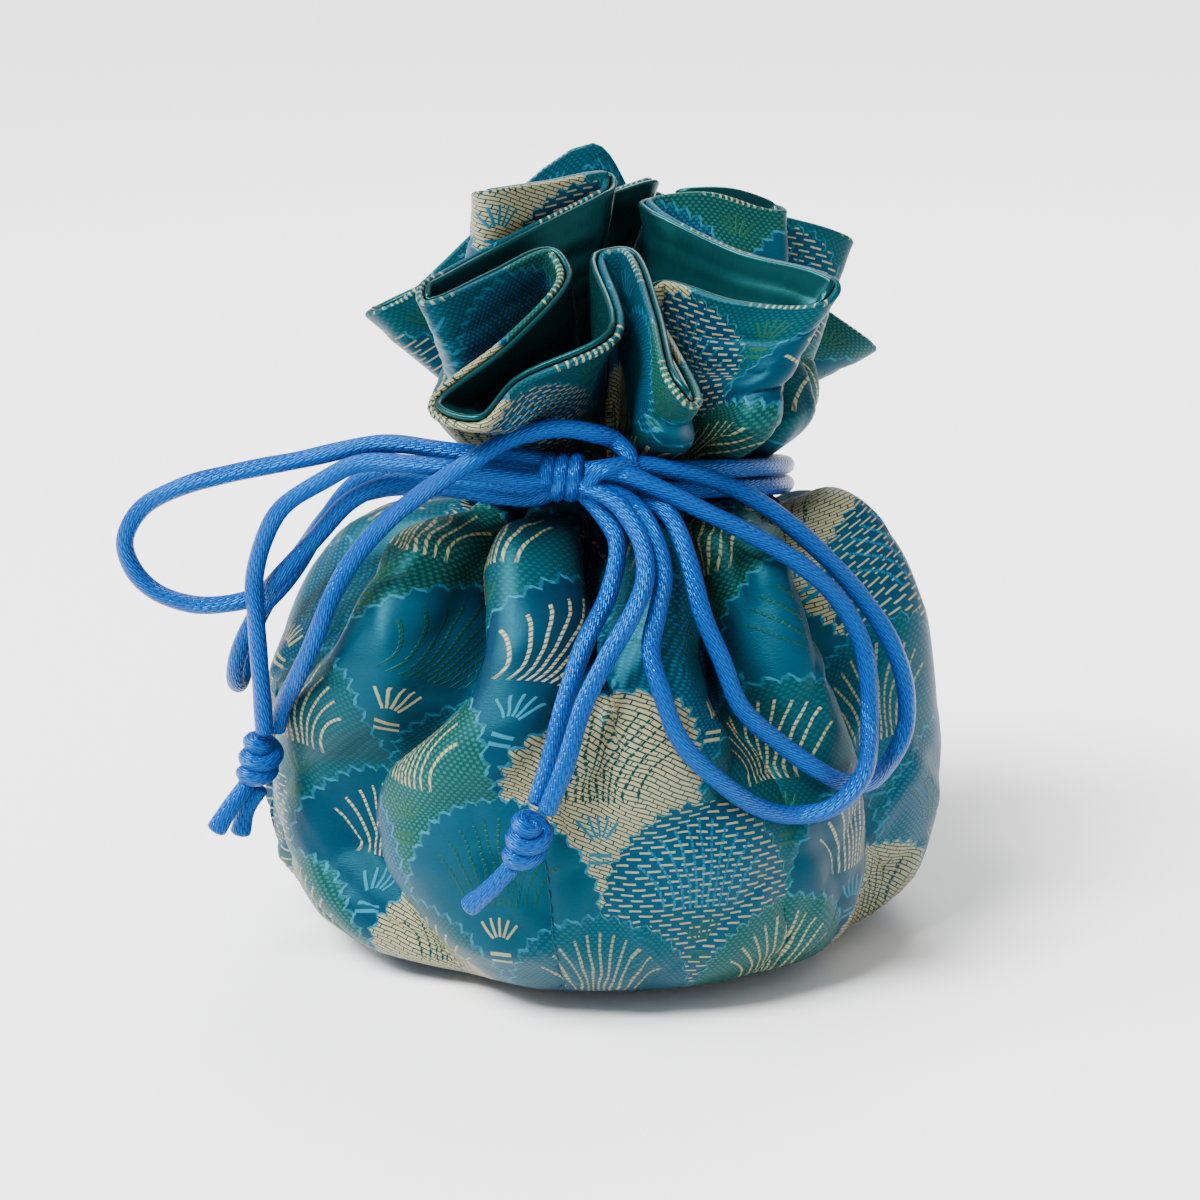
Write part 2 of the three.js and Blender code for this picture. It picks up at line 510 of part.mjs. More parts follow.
reticule.add(neckCord("neck_cord"));
for (const [name, route] of Object.entries(CORD_ROUTES)) {
  const points = route.map(([x, y, z]) => new THREE.Vector3(x, y, z));
  reticule.add(cord(name, new THREE.CatmullRomCurve3(points, false, "centripetal"), CORD_STEP));
}
reticule.add(knot("bow_knot", new THREE.Vector3(-4.2, -32.6, 85.8), new THREE.Vector3(1, 0, 0.1), 2.5, 2.6));
reticule.add(knot("end_knot_left", new THREE.Vector3(-55.8, -27, 36.6), new THREE.Vector3(-0.35, -0.1, -1), 2, 2.6));
reticule.add(knot("end_knot_right", new THREE.Vector3(-11.2, -61.2, 34.8), new THREE.Vector3(-0.4, 0.1, -1), 2, 2.5));

export default reticule;
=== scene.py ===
"""The looks of a brocade drawstring reticule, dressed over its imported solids.

Sizes are in millimetres, as on a pattern maker's sheet, and every mesh is made
in metres in the frame of the solids: +Z up, +X to the right and +Y to the back.
"""

import logging
import math
from dataclasses import dataclass, field
from enum import Enum

import bpy
import numpy as np
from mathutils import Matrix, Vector


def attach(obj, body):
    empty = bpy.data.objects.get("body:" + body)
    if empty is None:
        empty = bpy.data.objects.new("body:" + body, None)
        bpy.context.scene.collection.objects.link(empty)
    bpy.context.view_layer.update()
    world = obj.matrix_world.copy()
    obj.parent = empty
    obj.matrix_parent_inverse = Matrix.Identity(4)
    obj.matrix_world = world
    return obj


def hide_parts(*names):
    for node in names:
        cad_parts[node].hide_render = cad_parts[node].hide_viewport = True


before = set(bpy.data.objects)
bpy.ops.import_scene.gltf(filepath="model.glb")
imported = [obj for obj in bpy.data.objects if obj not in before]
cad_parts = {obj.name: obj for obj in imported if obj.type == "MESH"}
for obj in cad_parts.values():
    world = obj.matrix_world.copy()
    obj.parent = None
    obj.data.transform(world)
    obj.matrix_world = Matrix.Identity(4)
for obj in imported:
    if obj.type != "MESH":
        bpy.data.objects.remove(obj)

MM = 0.001
log = logging.getLogger("reticule")


# Small sums shared by the cloth and the cords.


def smooth(value: np.ndarray | float) -> np.ndarray | float:
    """Eases a value from 0 to 1 with level ends."""
    value = np.clip(value, 0.0, 1.0)
    return value * value * (3.0 - 2.0 * value)


def mix(low: np.ndarray | float, high: np.ndarray | float, share: np.ndarray | float) -> np.ndarray | float:
    """Goes from low to high by a share."""
    return low + (high - low) * share


def unit(rows: np.ndarray) -> np.ndarray:
    """Each row of vectors at a length of 1."""
    return rows / np.maximum(np.linalg.norm(rows, axis=-1, keepdims=True), 1e-9)


def through_points(
    before: np.ndarray, start: np.ndarray, end: np.ndarray, after: np.ndarray, share: np.ndarray
) -> np.ndarray:
    """Points on centripetal curves that pass from start to end.

    Args:
        before: The points before each stretch.
        start: The points that each stretch leaves.
        end: The points that each stretch reaches.
        after: The points after each stretch.
        share: How far along its stretch each wanted point lies.

    Returns:
        One point for each row.
    """
    near = np.sqrt(np.linalg.norm(start - before, axis=1))[:, None]
    here = np.sqrt(np.linalg.norm(end - start, axis=1))[:, None]
    far = np.sqrt(np.linalg.norm(after - end, axis=1))[:, None]
    here = np.where(here < 1e-4, 1.0, here)
    near = np.where(near < 1e-4, here, near)
    far = np.where(far < 1e-4, here, far)
    leave = (start - before) / near - (end - before) / (near + here) + (end - start) / here
    arrive = (end - start) / here - (after - start) / (here + far) + (after - end) / far
    leave, arrive = leave * here, arrive * here
    t = share[:, None]
    rise = (-3.0 * start + 3.0 * end - 2.0 * leave - arrive) * t**2
    return start + leave * t + rise + (2.0 * start - 2.0 * end + leave + arrive) * t**3


def round_curve(points: np.ndarray, shares: np.ndarray) -> np.ndarray:
    """Points on the closed smooth curve through a ring of points.

    Args:
        points: The ring of points.
        shares: How far round each wanted point lies, from 0 to 1.

    Returns:
        One point for each share.
    """
    count = len(points)
    place = np.mod(shares, 1.0) * count
    first = np.floor(place).astype(int)
    picks = [points[(first + step) % count] for step in (-1, 0, 1, 2)]
    return through_points(*picks, place - first)


def open_curve(points: np.ndarray, shares: np.ndarray) -> np.ndarray:
    """Points on the smooth curve through a row of points, from its first to its last.

    Args:
        points: The row of points.
        shares: How far along each wanted point lies, from 0 to 1.

    Returns:
        One point for each share.
    """
    ends = np.vstack([2 * points[0] - points[1], points, 2 * points[-1] - points[-2]])
    place = np.clip(shares, 0.0, 1.0) * (len(points) - 1)
    first = np.minimum(np.floor(place).astype(int), len(points) - 2)
    picks = [ends[first + step] for step in range(4)]
    return through_points(*picks, place - first)


# The pouch's folds, as in the solids.


@dataclass(frozen=True)
class ProfileLevel:
    """Where crests and valleys lie at one level, as shares of the radius and of the neck's height."""

    at: float
    ridge_reach: float
    ridge_height: float
    valley_reach: float
    valley_height: float


@dataclass(frozen=True)
class Fold:
    """One crest or valley: its turns in degrees, and its form as shares of the body's sizes."""

    name: str
    crest: bool
    neck: float
    shoulder: float
    belt: float
    base: float
    depth: float
    fade: float
    spread: float
    lift: float


@dataclass(frozen=True)
class EdgeFold:
    """The ruffle's free edge at one fold: a turn, and places as shares of the ruffle's height."""

    name: str
    turn: float
    reach: float
    rise: float
    width: float
    side_at: float
    side_rise: float
    side_push: float


BODY_PROFILE = (
    ProfileLevel(0.0, 0.22, 0.0, 0.22, 0.0),
    ProfileLevel(0.1, 0.48, 0.0, 0.48, 0.0),
    ProfileLevel(0.18, 0.7, 0.018, 0.67, 0.015),
    ProfileLevel(0.26, 0.885, 0.07, 0.78, 0.07),
    ProfileLevel(0.36, 0.97, 0.18, 0.86, 0.18),
    ProfileLevel(0.47, 0.99, 0.34, 0.86, 0.33),
    ProfileLevel(0.58, 0.975, 0.51, 0.81, 0.48),
    ProfileLevel(0.69, 0.91, 0.68, 0.71, 0.62),
    ProfileLevel(0.79, 0.785, 0.825, 0.56, 0.75),
    ProfileLevel(0.87, 0.63, 0.9, 0.4, 0.85),
    ProfileLevel(0.94, 0.49, 0.905, 0.26, 0.9),
)

BODY_FOLDS = (
    Fold("A", True, -30, -18, -32, -12, 1.0, 0, 0.3, 0.01),
    Fold("AB", False, -9, -3, -6, 4, 1.3, 0.6, 0.14, 0),
    Fold("B", True, 12, 13, 14, 20, 1.0, 0, 0.26, 0.01),
    Fold("BC", False, 27, 28, 34, 34, 1.15, 0.36, 0.05, 0),
    Fold("C", True, 43, 41, 48, 48, 0.99, 0, 0.14, 0.02),
    Fold("CD", False, 60, 56, 60, 62, 0.95, -0.1, 0.05, 0),
    Fold("D", True, 76, 78, 80, 80, 1.02, 0, 0.26, 0.09),
    Fold("DE", False, 92, 97, 98, 98, 0.8, 0.35, 0.1, 0),
    Fold("E", True, 107, 110, 112, 112, 1.0, 0, 0.2, 0.04),
    Fold("EF", False, 123, 125, 126, 126, 0.9, 0.2, 0.08, 0),
    Fold("F", True, 138, 139, 142, 142, 1.0, 0, 0.2, 0),
    Fold("FG", False, 154, 155, 157, 157, 0.8, 0.45, 0.1, 0),
    Fold("G", True, 171, 170, 171, 171, 1.0, 0, 0.24, 0),
    Fold("GH", False, 189, 187, 186, 186, 1.0, 0.15, 0.06, 0),
    Fold("H", True, 206, 204, 202, 202, 1.0, 0, 0.2, 0),
    Fold("HJ", False, 219, 219, 218, 218, 0.85, 0.4, 0.1, 0),
    Fold("J", True, 234, 235, 236, 236, 1.0, 0, 0.2, 0),
    Fold("JI", False, 249, 251, 253, 253, 0.85, 0.25, 0.08, 0),
    Fold("I", True, 264, 268, 270, 270, 1.01, 0, 0.24, 0),
    Fold("IK", False, 280, 292, 276, 280, 0.5, 0.5, 0.1, 0),
    Fold("K", True, 297, 311, 293, 308, 1.0, 0, 0.16, 0),
    Fold("KA", False, 314, 329, 310, 331, 1.25, -0.1, 0.05, 0),
)

EDGE_FOLDS = (
    EdgeFold("A", -27, 1.08, 0.42, 0.34, 0.42, 0, 0.24),
    EdgeFold("AB", -7, 0.33, 0.88, 0.1, 0.5, 0, -0.02),
    EdgeFold("B", 11, 1.04, 0.51, 0.11, 0.5, 0, 0),
    EdgeFold("BC", 22, 0.27, 0.73, 0.1, 0.5, -0.03, 0.03),
    EdgeFold("C", 59, 0.85, 0.78, 0.13, 0.5, -0.04, 0.02),
    EdgeFold("CD", 90, 0.09, 0.98, 0.13, 0.5, 0.04, 0),
    EdgeFold("D", 111, 0.61, 0.92, 0.12, 0.5, 0.03, 0),
    EdgeFold("DE", 137, 0.35, 0.98, 0.1, 0.5, 0, 0),
    EdgeFold("E", 120, 0.96, 0.77, 0.14, 0.5, 0, 0),
    EdgeFold("EF", 151, 0.5, 0.86, 0.1, 0.5, 0, 0),
    EdgeFold("F", 131, 1.24, 0.31, 0.14, 0.5, 0, 0.02),
    EdgeFold("FG", 171, 0.6, 0.92, 0.1, 0.5, 0, 0),
    EdgeFold("G", 163, 0.95, 0.72, 0.14, 0.5, 0, 0),
    EdgeFold("GH", 195, 0.56, 0.84, 0.1, 0.5, 0, 0),
    EdgeFold("H", 205, 0.93, 0.68, 0.14, 0.5, 0, 0.02),
    EdgeFold("HJ", 208, 0.64, 0.8, 0.1, 0.5, 0, 0),
    EdgeFold("J", 248, 0.97, 0.53, 0.16, 0.82, 0.27, 0.02),
    EdgeFold("JI", 167, 0.37, 0.98, 0.12, 0.5, -0.05, 0),
    EdgeFold("I", 275, 0.52, 1.03, 0.14, 0.5, 0, 0),
    EdgeFold("IK", 222, 0.09, 1.04, 0.12, 0.5, 0, 0),
    EdgeFold("K", 302, 0.82, 0.78, 0.15, 0.5, 0, 0.01),
    EdgeFold("KA", 326, 0.39, 0.83, 0.16, 0.5, 0, -0.03),
)


def fold_column(name: str) -> np.ndarray:
    """One column of BODY_FOLDS."""
    return np.array([getattr(row, name) for row in BODY_FOLDS], float)


def edge_column(name: str) -> np.ndarray:
    """One column of EDGE_FOLDS."""
    return np.array([getattr(row, name) for row in EDGE_FOLDS], float)


@dataclass
class PouchShape:
    """The face between brocade and lining: the base is at 0, the neck at 1 and the ruffle's edge at 2.

    The sizes are the same as in the solids.
    """

    body_radius: float = 56.0
    neck_height: float = 78.0
    neck_shift: float = 4.0
    neck_radius: float = 23.8
    neck_hole_radius: float = 10.5
    neck_tilt: float = math.tan(math.radians(12))
    header: float = 46.0
    casing_puff: float = 4.0
    neck_band: float = 3.7
    brocade: float = 1.2

    def column(self, name: str, at: float) -> float:
        """The steady curve through one column of BODY_PROFILE.

        Args:
            name: The column.
            at: The level.

        Returns:
            The column's value at that level.
        """
        rows = BODY_PROFILE
        values = [getattr(row, name) for row in rows]
        last = len(rows) - 1
        row = 0
        while row < last - 1 and at > rows[row + 1].at:
            row += 1

        def slope(i: int) -> float:
            """The rise from a row to the next."""
            return (values[i + 1] - values[i]) / (rows[i + 1].at - rows[i].at)

        def bend(i: int) -> float:
            """The slope of the curve as it passes a row."""
            if i in (0, last):
                return slope(min(i, last - 1))
            below, above = slope(i - 1), slope(i)
            return 0.0 if below * above <= 0 else 2 * below * above / (below + above)

        span = rows[row + 1].at - rows[row].at
        t = min(max((at - rows[row].at) / span, 0.0), 1.0)
        hold = (2 * t**3 - 3 * t**2 + 1) * values[row] + (3 * t**2 - 2 * t**3) * values[row + 1]
        return hold + (t**3 - 2 * t**2 + t) * span * bend(row) + (t**3 - t**2) * span * bend(row + 1)

    def around(self, turn: np.ndarray, reach: np.ndarray, height: np.ndarray, centre: tuple) -> np.ndarray:
        """Points round an upright axis.

        Args:
            turn: Degrees from the front, positive to the right.
            reach: Lengths out from the axis.
            height: Heights above the centre.
            centre: A point on the axis.

        Returns:
            One point for each turn.
        """
        angle = np.radians(turn)
        places = (centre[0] + reach * np.sin(angle), centre[1] - reach * np.cos(angle), centre[2] + height)
        return np.stack(np.broadcast_arrays(*places), axis=1)

    @property
    def neck_centre(self) -> tuple:
        """The middle of the neck."""
        return (self.neck_shift, 0.0, self.neck_height)

    def neck_folds(self, rise: float) -> tuple[np.ndarray, np.ndarray]:
        """The folds where they pass under the cord at the neck.

        Args:
            rise: How far above the middle of the two turns of cord.

        Returns:
            Their places and widths.
        """
        crest = fold_column("crest") > 0
        reach = np.where(crest, self.neck_radius, self.neck_hole_radius)
        points = self.around(fold_column("neck"), reach, rise, self.neck_centre)
        points[:, 2] -= points[:, 1] * self.neck_tilt
        return points, np.where(crest, 0.3, 0.13) * self.neck_radius

    def body_folds(self, at: float) -> tuple:
        """The folds of the body.

        Args:
            at: The level, from 0 to 1.

        Returns:
            Their places, widths and roundness, and the place, rise and push of their sides.
        """
        top = BODY_PROFILE[-1].at
        names = ("ridge_reach", "ridge_height", "valley_reach", "valley_height")
        ridge_reach, ridge_height, valley_reach, valley_height = (self.column(n, min(at, top)) for n in names)
        to_belt, to_shoulder = smooth((at - 0.2) / 0.3), smooth((at - 0.5) / 0.22)
        to_neck = smooth((at - 0.72) / 0.28)
        turn = mix(fold_column("base"), fold_column("belt"), to_belt)
        turn = mix(mix(turn, fold_column("shoulder"), to_shoulder), fold_column("neck"), to_neck)
        depth = mix(fold_column("depth"), 1.0, to_neck)
        cut = smooth((ridge_height - fold_column("fade")) / 0.3) * depth
        crest = fold_column("crest") > 0
        valley = mix(ridge_reach * mix(1.0, 0.985, to_belt), valley_reach, cut)
        reach = np.where(crest, ridge_reach * mix(1.0, depth, to_belt), valley)
        stand = fold_column("lift") * math.sin(math.pi * min(max((at - 0.56) / 0.36, 0.0), 1.0))
        height = np.where(crest, ridge_height + stand, mix(ridge_height, valley_height, cut))
        centre = (self.neck_shift * to_neck, 0.0, self.brocade)
        points = self.around(turn, reach * self.body_radius, height * self.neck_height, centre)
        points[:, 2] -= points[:, 1] * self.neck_tilt * to_neck
        neck, neck_width = self.neck_folds(-self.neck_band)
        points = mix(points, neck, smooth((at - top) / (1 - top)))
        spread = fold_column("spread") * self.body_radius * mix(ridge_reach, 1.0, to_belt)
        none = np.zeros(len(BODY_FOLDS))
        return points, mix(spread, neck_width, to_neck), 1.0 - to_neck, none + 0.5, none, none

    def ruffle_folds(self, at: float) -> tuple:
        """The folds of the ruffle.

        Args:
            at: The level, from 1 to 2.

        Returns:
            Their places, widths and roundness, and the place, rise and push of their sides.
        """
        band = 0.12
        none = np.zeros(len(BODY_FOLDS))
        bottom, width = self.neck_folds(-self.neck_band)
        top, _ = self.neck_folds(self.neck_band)
        if at - 1 <= band:
            return mix(bottom, top, (at - 1) / band), width, 0.0, none + 0.5, none, none
        t = (at - 1 - band) / (1 - band)
        crest = fold_column("crest")[:, None]
        reach, rise = edge_column("reach") * self.header, edge_column("rise") * self.header
        end = self.around(edge_column("turn"), reach, rise, self.neck_centre)
        away = (top - np.array(self.neck_centre)) * (1, 1, 0)
        away = unit(away)
        leave = away * crest * 0.5 * self.header + np.array([0, 0, 0.6 * self.header])
        arrive = (end - top) * 0.9
        points = top * (2 * t**3 - 3 * t**2 + 1) + leave * (t**3 - 2 * t**2 + t)
        points = points + end * (3 * t**2 - 2 * t**3) + arrive * (t**3 - t**2)
        points = points + away * crest * self.casing_puff * math.sin(math.pi * min(t / 0.45, 1.0))
        wide = mix(width, edge_column("width") * self.header, smooth(t))
        side_at = mix(0.5, edge_column("side_at"), smooth(t))
        side_rise, side_push = (edge_column(name) * self.header * t**2 for name in ("side_rise", "side_push"))
        return points, wide, 0.0, side_at, side_rise, side_push

    def controls(self, at: float) -> np.ndarray:
        """The points that the cloth's closed curve passes through: three on each turn and one beside it.

        Args:
            at: The level.

        Returns:
            Four points for each fold, in order round the pouch.
        """
        folds = self.body_folds(at) if at < 1 else self.ruffle_folds(at)
        points, width, roundness, side_at, side_rise, side_push = folds
        before, after = np.roll(points, 1, axis=0), np.roll(points, -1, axis=0)
        across = after - before
        half_span = np.maximum(np.linalg.norm(across, axis=1) / 2, 0.1)
        across = unit(across)
        out = points - (before + after) / 2
        out = out - across * np.sum(out * across, axis=1, keepdims=True)
        depth = np.linalg.norm(out, axis=1)
        out = unit(out)
        half = np.minimum(width / 2, half_span * 1.6)
        drop = np.minimum(half, depth * np.minimum((half / half_span) ** 2, 1.0))
        back = points - out * drop[:, None]
        room_before, room_after = half, half
        if at < 1:
            room_before = np.minimum(half, 0.45 * np.linalg.norm(points - before, axis=1))
            room_after = np.minimum(half, 0.45 * np.linalg.norm(points - after, axis=1))
        first = back - across * room_before[:, None]
        last = back + across * room_after[:, None]
        follow = np.roll(first, -1, axis=0)
        side = mix(last, follow, side_at[:, None])
        flat = np.maximum(np.linalg.norm(side[:, :2], axis=1), 1.0)
        arc = (np.linalg.norm(last[:, :2], axis=1) + np.linalg.norm(follow[:, :2], axis=1)) / 2
        side[:, :2] *= mix(1.0, arc / flat, roundness)[:, None]
        if at > 1:
            along = unit((follow - last) * (1, 1, 0))
            side[:, 0] += along[:, 1] * side_push
            side[:, 1] -= along[:, 0] * side_push
            side[:, 2] += side_rise
        return np.stack([first, points, last, side], axis=1).reshape(-1, 3)

    def ring(self, at: float, shares: np.ndarray) -> np.ndarray:
        """Points on the seam face at a level."""
        return round_curve(self.controls(at), shares)


# Node trees.


def linear(code: str) -> tuple[float, float, float, float]:
    """The linear colour of an sRGB hex code."""
    parts = [int(code[i : i + 2], 16) / 255 for i in (1, 3, 5)]
    return tuple(c / 12.92 if c <= 0.04045 else ((c + 0.055) / 1.055) ** 2.4 for c in parts) + (1.0,)


def add_node(tree: bpy.types.NodeTree, kind: str, links: dict | None = None, **settings: object) -> bpy.types.Node:
    """Adds a node with its settings and inputs.

    Args:
        tree: The node tree.
        kind: The node's type name.
        links: For each input's name or number, a socket to link or a value to set.
        settings: The node's own properties.

    Returns:
        The new node.
    """
    node = tree.nodes.new(kind)
    for name, value in settings.items():
        setattr(node, name, value)
    for name, value in (links or {}).items():
        if isinstance(value, Term):
            value = value.socket
        if isinstance(value, bpy.types.NodeSocket):
            tree.links.new(value, node.inputs[name])
        else:
            node.inputs[name].default_value = value
    return node


class Term:
    """A number worked out at each point of a surface, so that a pattern reads as sums."""

    def __init__(self, tree: bpy.types.NodeTree, socket: bpy.types.NodeSocket) -> None:
        """Wraps an output socket of a node."""
        self.tree = tree
        self.socket = socket

    def sum(self, operation: str, *others: object) -> "Term":
        """The result of a Math node on this number and others."""
        values = {0: self, **{i + 1: value for i, value in enumerate(others)}}
        return Term(self.tree, add_node(self.tree, "ShaderNodeMath", values, operation=operation).outputs[0])

    def __add__(self, other: object) -> "Term":
        """Adds."""
        return self.sum("ADD", other)

    def __radd__(self, other: float) -> "Term":
        """Adds."""
        return self.sum("ADD", other)

    def __sub__(self, other: object) -> "Term":
        """Takes away."""
        return self.sum("SUBTRACT", other)

    def __rsub__(self, other: float) -> "Term":
        """Takes this from a number."""
        return self.sum("MULTIPLY", -1.0).sum("ADD", other)

    def __mul__(self, other: object) -> "Term":
        """Multiplies."""
        return self.sum("MULTIPLY", other)

    def __rmul__(self, other: float) -> "Term":
        """Multiplies."""
        return self.sum("MULTIPLY", other)

    def __truediv__(self, other: object) -> "Term":
        """Divides."""
        return self.sum("DIVIDE", other)

    def floor(self) -> "Term":
        """The whole number below."""
        return self.sum("FLOOR")

    def cycle(self, length: float = 1.0) -> "Term":
        """What is left over after whole lengths."""
        return self.sum("FLOORED_MODULO", length)

    def size(self) -> "Term":
        """The size without its sign."""
        return self.sum("ABSOLUTE")

    def below(self, other: object) -> "Term":
        """1 where this is less, otherwise 0."""
        return self.sum("LESS_THAN", other)

    def above(self, other: object) -> "Term":
        """1 where this is more, otherwise 0."""
        return self.sum("GREATER_THAN", other)

    def wave(self, length: float) -> "Term":
        """A triangle wave from 0 to 1 and back in one length."""
        return ((self / length).cycle() - 0.5).size() * 2.0

    def choose(self, where_one: "Term", where_zero: "Term") -> "Term":
        """One number where this is 1, and another where it is 0."""
        return where_zero + (where_one - where_zero) * self

    def fade(self, full: float, none: float) -> "Term":
        """A mask with a soft edge.

        Args:
            full: The number up to which the mask is 1.
            none: The number from which it is 0.

        Returns:
            The mask.
        """
        values = {"Value": self, "From Min": full, "From Max": none, "To Min": 1.0, "To Max": 0.0}
        node = add_node(self.tree, "ShaderNodeMapRange", values, interpolation_type="SMOOTHSTEP")
        return Term(self.tree, node.outputs[0])


def both(*masks: Term) -> Term:
    """1 where every mask is 1.

    Args:
        masks: The masks.

    Returns:
        Their product.
    """
    result = masks[0]
    for mask in masks[1:]:
        result = result * mask
    return result


def either(*masks: Term) -> Term:
    """1 where any mask is 1.

    Args:
        masks: The masks.

    Returns:
        The greatest of them.
    """
    result = masks[0]
    for mask in masks[1:]:
        result = result.sum("MAXIMUM", mask)
    return result


def blend(tree: bpy.types.NodeTree, mask: Term, low: object, high: object) -> bpy.types.NodeSocket:
    """Goes from one colour to another by a mask.

    Args:
        tree: The node tree.
        mask: How much of the second colour there is.
        low: The first colour or its socket.
        high: The second colour or its socket.

    Returns:
        The colour's socket.
    """
    node = add_node(tree, "ShaderNodeMix", {0: mask, 6: low, 7: high}, data_type="RGBA")
    return node.outputs[2]


class Finish:
    """A material made of nodes, with its surface shader ready to be fed."""

    def __init__(self, name: str, **sockets: float) -> None:
        """Starts the material.

        Args:
            name: What the material is.
            sockets: Values for the surface shader's inputs, with spaces as underscores.
        """
        self.material = bpy.data.materials.new(name)
        self.material.use_nodes = True
        self.tree = self.material.node_tree
        self.surface = self.tree.nodes["Principled BSDF"]
        for key, value in sockets.items():
            self.surface.inputs[key.replace("_", " ")].default_value = value

    def tint(self, red: float, green: float, blue: float) -> None:
        """Colours the gloss, as light that crosses dyed filaments before it leaves them."""
        self.surface.inputs["Specular Tint"].default_value = (red, green, blue, 1.0)

    def flat(self) -> tuple[Term, Term]:
        """The piece's own UV map.

        Returns:
            The lengths along the cloth and up it, in millimetres.
        """
        place = add_node(self.tree, "ShaderNodeUVMap", uv_map="cloth")
        split = add_node(self.tree, "ShaderNodeSeparateXYZ", {0: place.outputs[0]})
        return Term(self.tree, split.outputs[0]), Term(self.tree, split.outputs[1])

    def noise(self, x: Term, y: Term, detail: float = 2.0) -> Term:
        """Soft random numbers from 0 to 1.

        Args:
            x: The first length.
            y: The second length.
            detail: How many finer layers are added.

        Returns:
            The random number.
        """
        spot = add_node(self.tree, "ShaderNodeCombineXYZ", {0: x, 1: y})
        values = {"Vector": spot.outputs[0], "Scale": 1.0, "Detail": detail, "Roughness": 0.6}
        return Term(self.tree, add_node(self.tree, "ShaderNodeTexNoise", values).outputs[0])

    def colours(self, pick: Term, codes: tuple[str, ...]) -> bpy.types.NodeSocket:
        """One of several colours, by a whole number.

        Args:
            pick: The number of the colour.
            codes: The colours as sRGB hex codes.

        Returns:
            The colour's socket.
        """
        count = len(codes)
        node = add_node(self.tree, "ShaderNodeValToRGB", {0: (pick + 0.5) / float(count)})
        ramp = node.color_ramp
        ramp.interpolation = "CONSTANT"
        for i, code in enumerate(codes):
            stop = ramp.elements[i] if i < 2 else ramp.elements.new(i / count)
            stop.position = i / count
            stop.color = linear(code)
        return node.outputs[0]

    def colour(self, socket: bpy.types.NodeSocket) -> None:
        """Feeds the base colour."""
        self.tree.links.new(socket, self.surface.inputs["Base Color"])

    def relief(self, height: Term, depth: float, strength: float = 1.0) -> None:
        """Raises the surface.

        Args:
            height: How high it stands, from 0 to 1.
            depth: The full height in millimetres.
            strength: How strongly the light follows it.
        """
        values = {"Height": height, "Distance": depth * MM, "Strength": strength}
        bump = add_node(self.tree, "ShaderNodeBump", values)
        self.tree.links.new(bump.outputs[0], self.surface.inputs["Normal"])


class Floats(Enum):
    """How the loose threads of a fan's ground lie."""

    PLAIN = 0
    TWILL = 1
    DASHES = 2
    DOTS = 3


@dataclass(frozen=True)
class Weave:
    """One way for loose threads to lie: lanes of short pieces, set off from lane to lane.

    Across and along say how far a point moves across the threads and along
    them, first for a millimetre to the right and then for a millimetre up. A
    lane's width and a piece's length are in millimetres and take in the gap
    after them. Fill and cover are the shares of these that the thread takes
    up, and the offset is a share of a piece.
    """

    across: tuple[float, float]
    along: tuple[float, float]
    lane: float
    fill: float
    piece: float
    cover: float
    offset: float

    def draw(self, x: Term, y: Term) -> Term:
        """Draws the threads.

        Args:
            x: Millimetres along the cloth.
            y: Millimetres up the cloth.

        Returns:
            The mask.
        """
        lanes = (x * self.across[0] + y * self.across[1]) / self.lane
        pieces = (x * self.along[0] + y * self.along[1]) / self.piece + lanes.floor() * self.offset
        return both(lanes.cycle().below(self.fill), pieces.cycle().below(self.cover))


WEAVES = {
    Floats.TWILL: Weave((0.41, 0.902), (0.9, -0.41), lane=0.66, fill=0.72, piece=2.6, cover=0.93, offset=0.37),
    Floats.DASHES: Weave((0.0, 1.0), (1.0, 0.15), lane=0.92, fill=0.34, piece=3.4, cover=0.6, offset=0.41),
    Floats.DOTS: Weave((0.0, 1.0), (1.0, 0.0), lane=0.58, fill=0.6, piece=1.05, cover=0.5, offset=0.5),
}


@dataclass(frozen=True)
class FanRibs:
    """The ribs of a fan, which bend outwards from its foot.

    Lengths are in millimetres. The ribs are the spacing apart at the foot and
    spread by the widening above it. The middle one ends at the tip, and each
    further out ends lower by the tip slope, up to the last.
    """

    spacing: float = 0.95
    widening: float = 0.0132
    start: float = 0.2
    tip: float = 14.6
    tip_slope: float = 0.35
    last: float = 5.4
    half_width: float = 0.15
    soft_half_width: float = 0.27

    def draw(self, x: Term, y: Term, far: Term) -> Term:
        """Draws the ribs.

        The gap to the nearest rib is divided by the slope of their spread, so
        that each keeps its width.

        Args:
            x: Millimetres right of the fan's middle.
            y: Millimetres above it.
            far: Millimetres away from it.

        Returns:
            The mask.
        """
        spread = (x * x + y * y) * (self.widening / 2) + self.spacing
        rib = x / spread
        slope_x = (1.0 - x * x * self.widening / spread) / spread
        slope_y = x * self.widening / (spread * spread) * y
        slope = (slope_x * slope_x + slope_y * slope_y).sum("SQRT")
        gap = ((rib + 0.5).cycle() - 0.5).size() / slope
        line = gap.fade(self.half_width, self.soft_half_width)
        tip = self.tip - rib.size() * self.tip_slope
        return both(line, y.above(self.start), far.below(tip), rib.size().below(self.last))


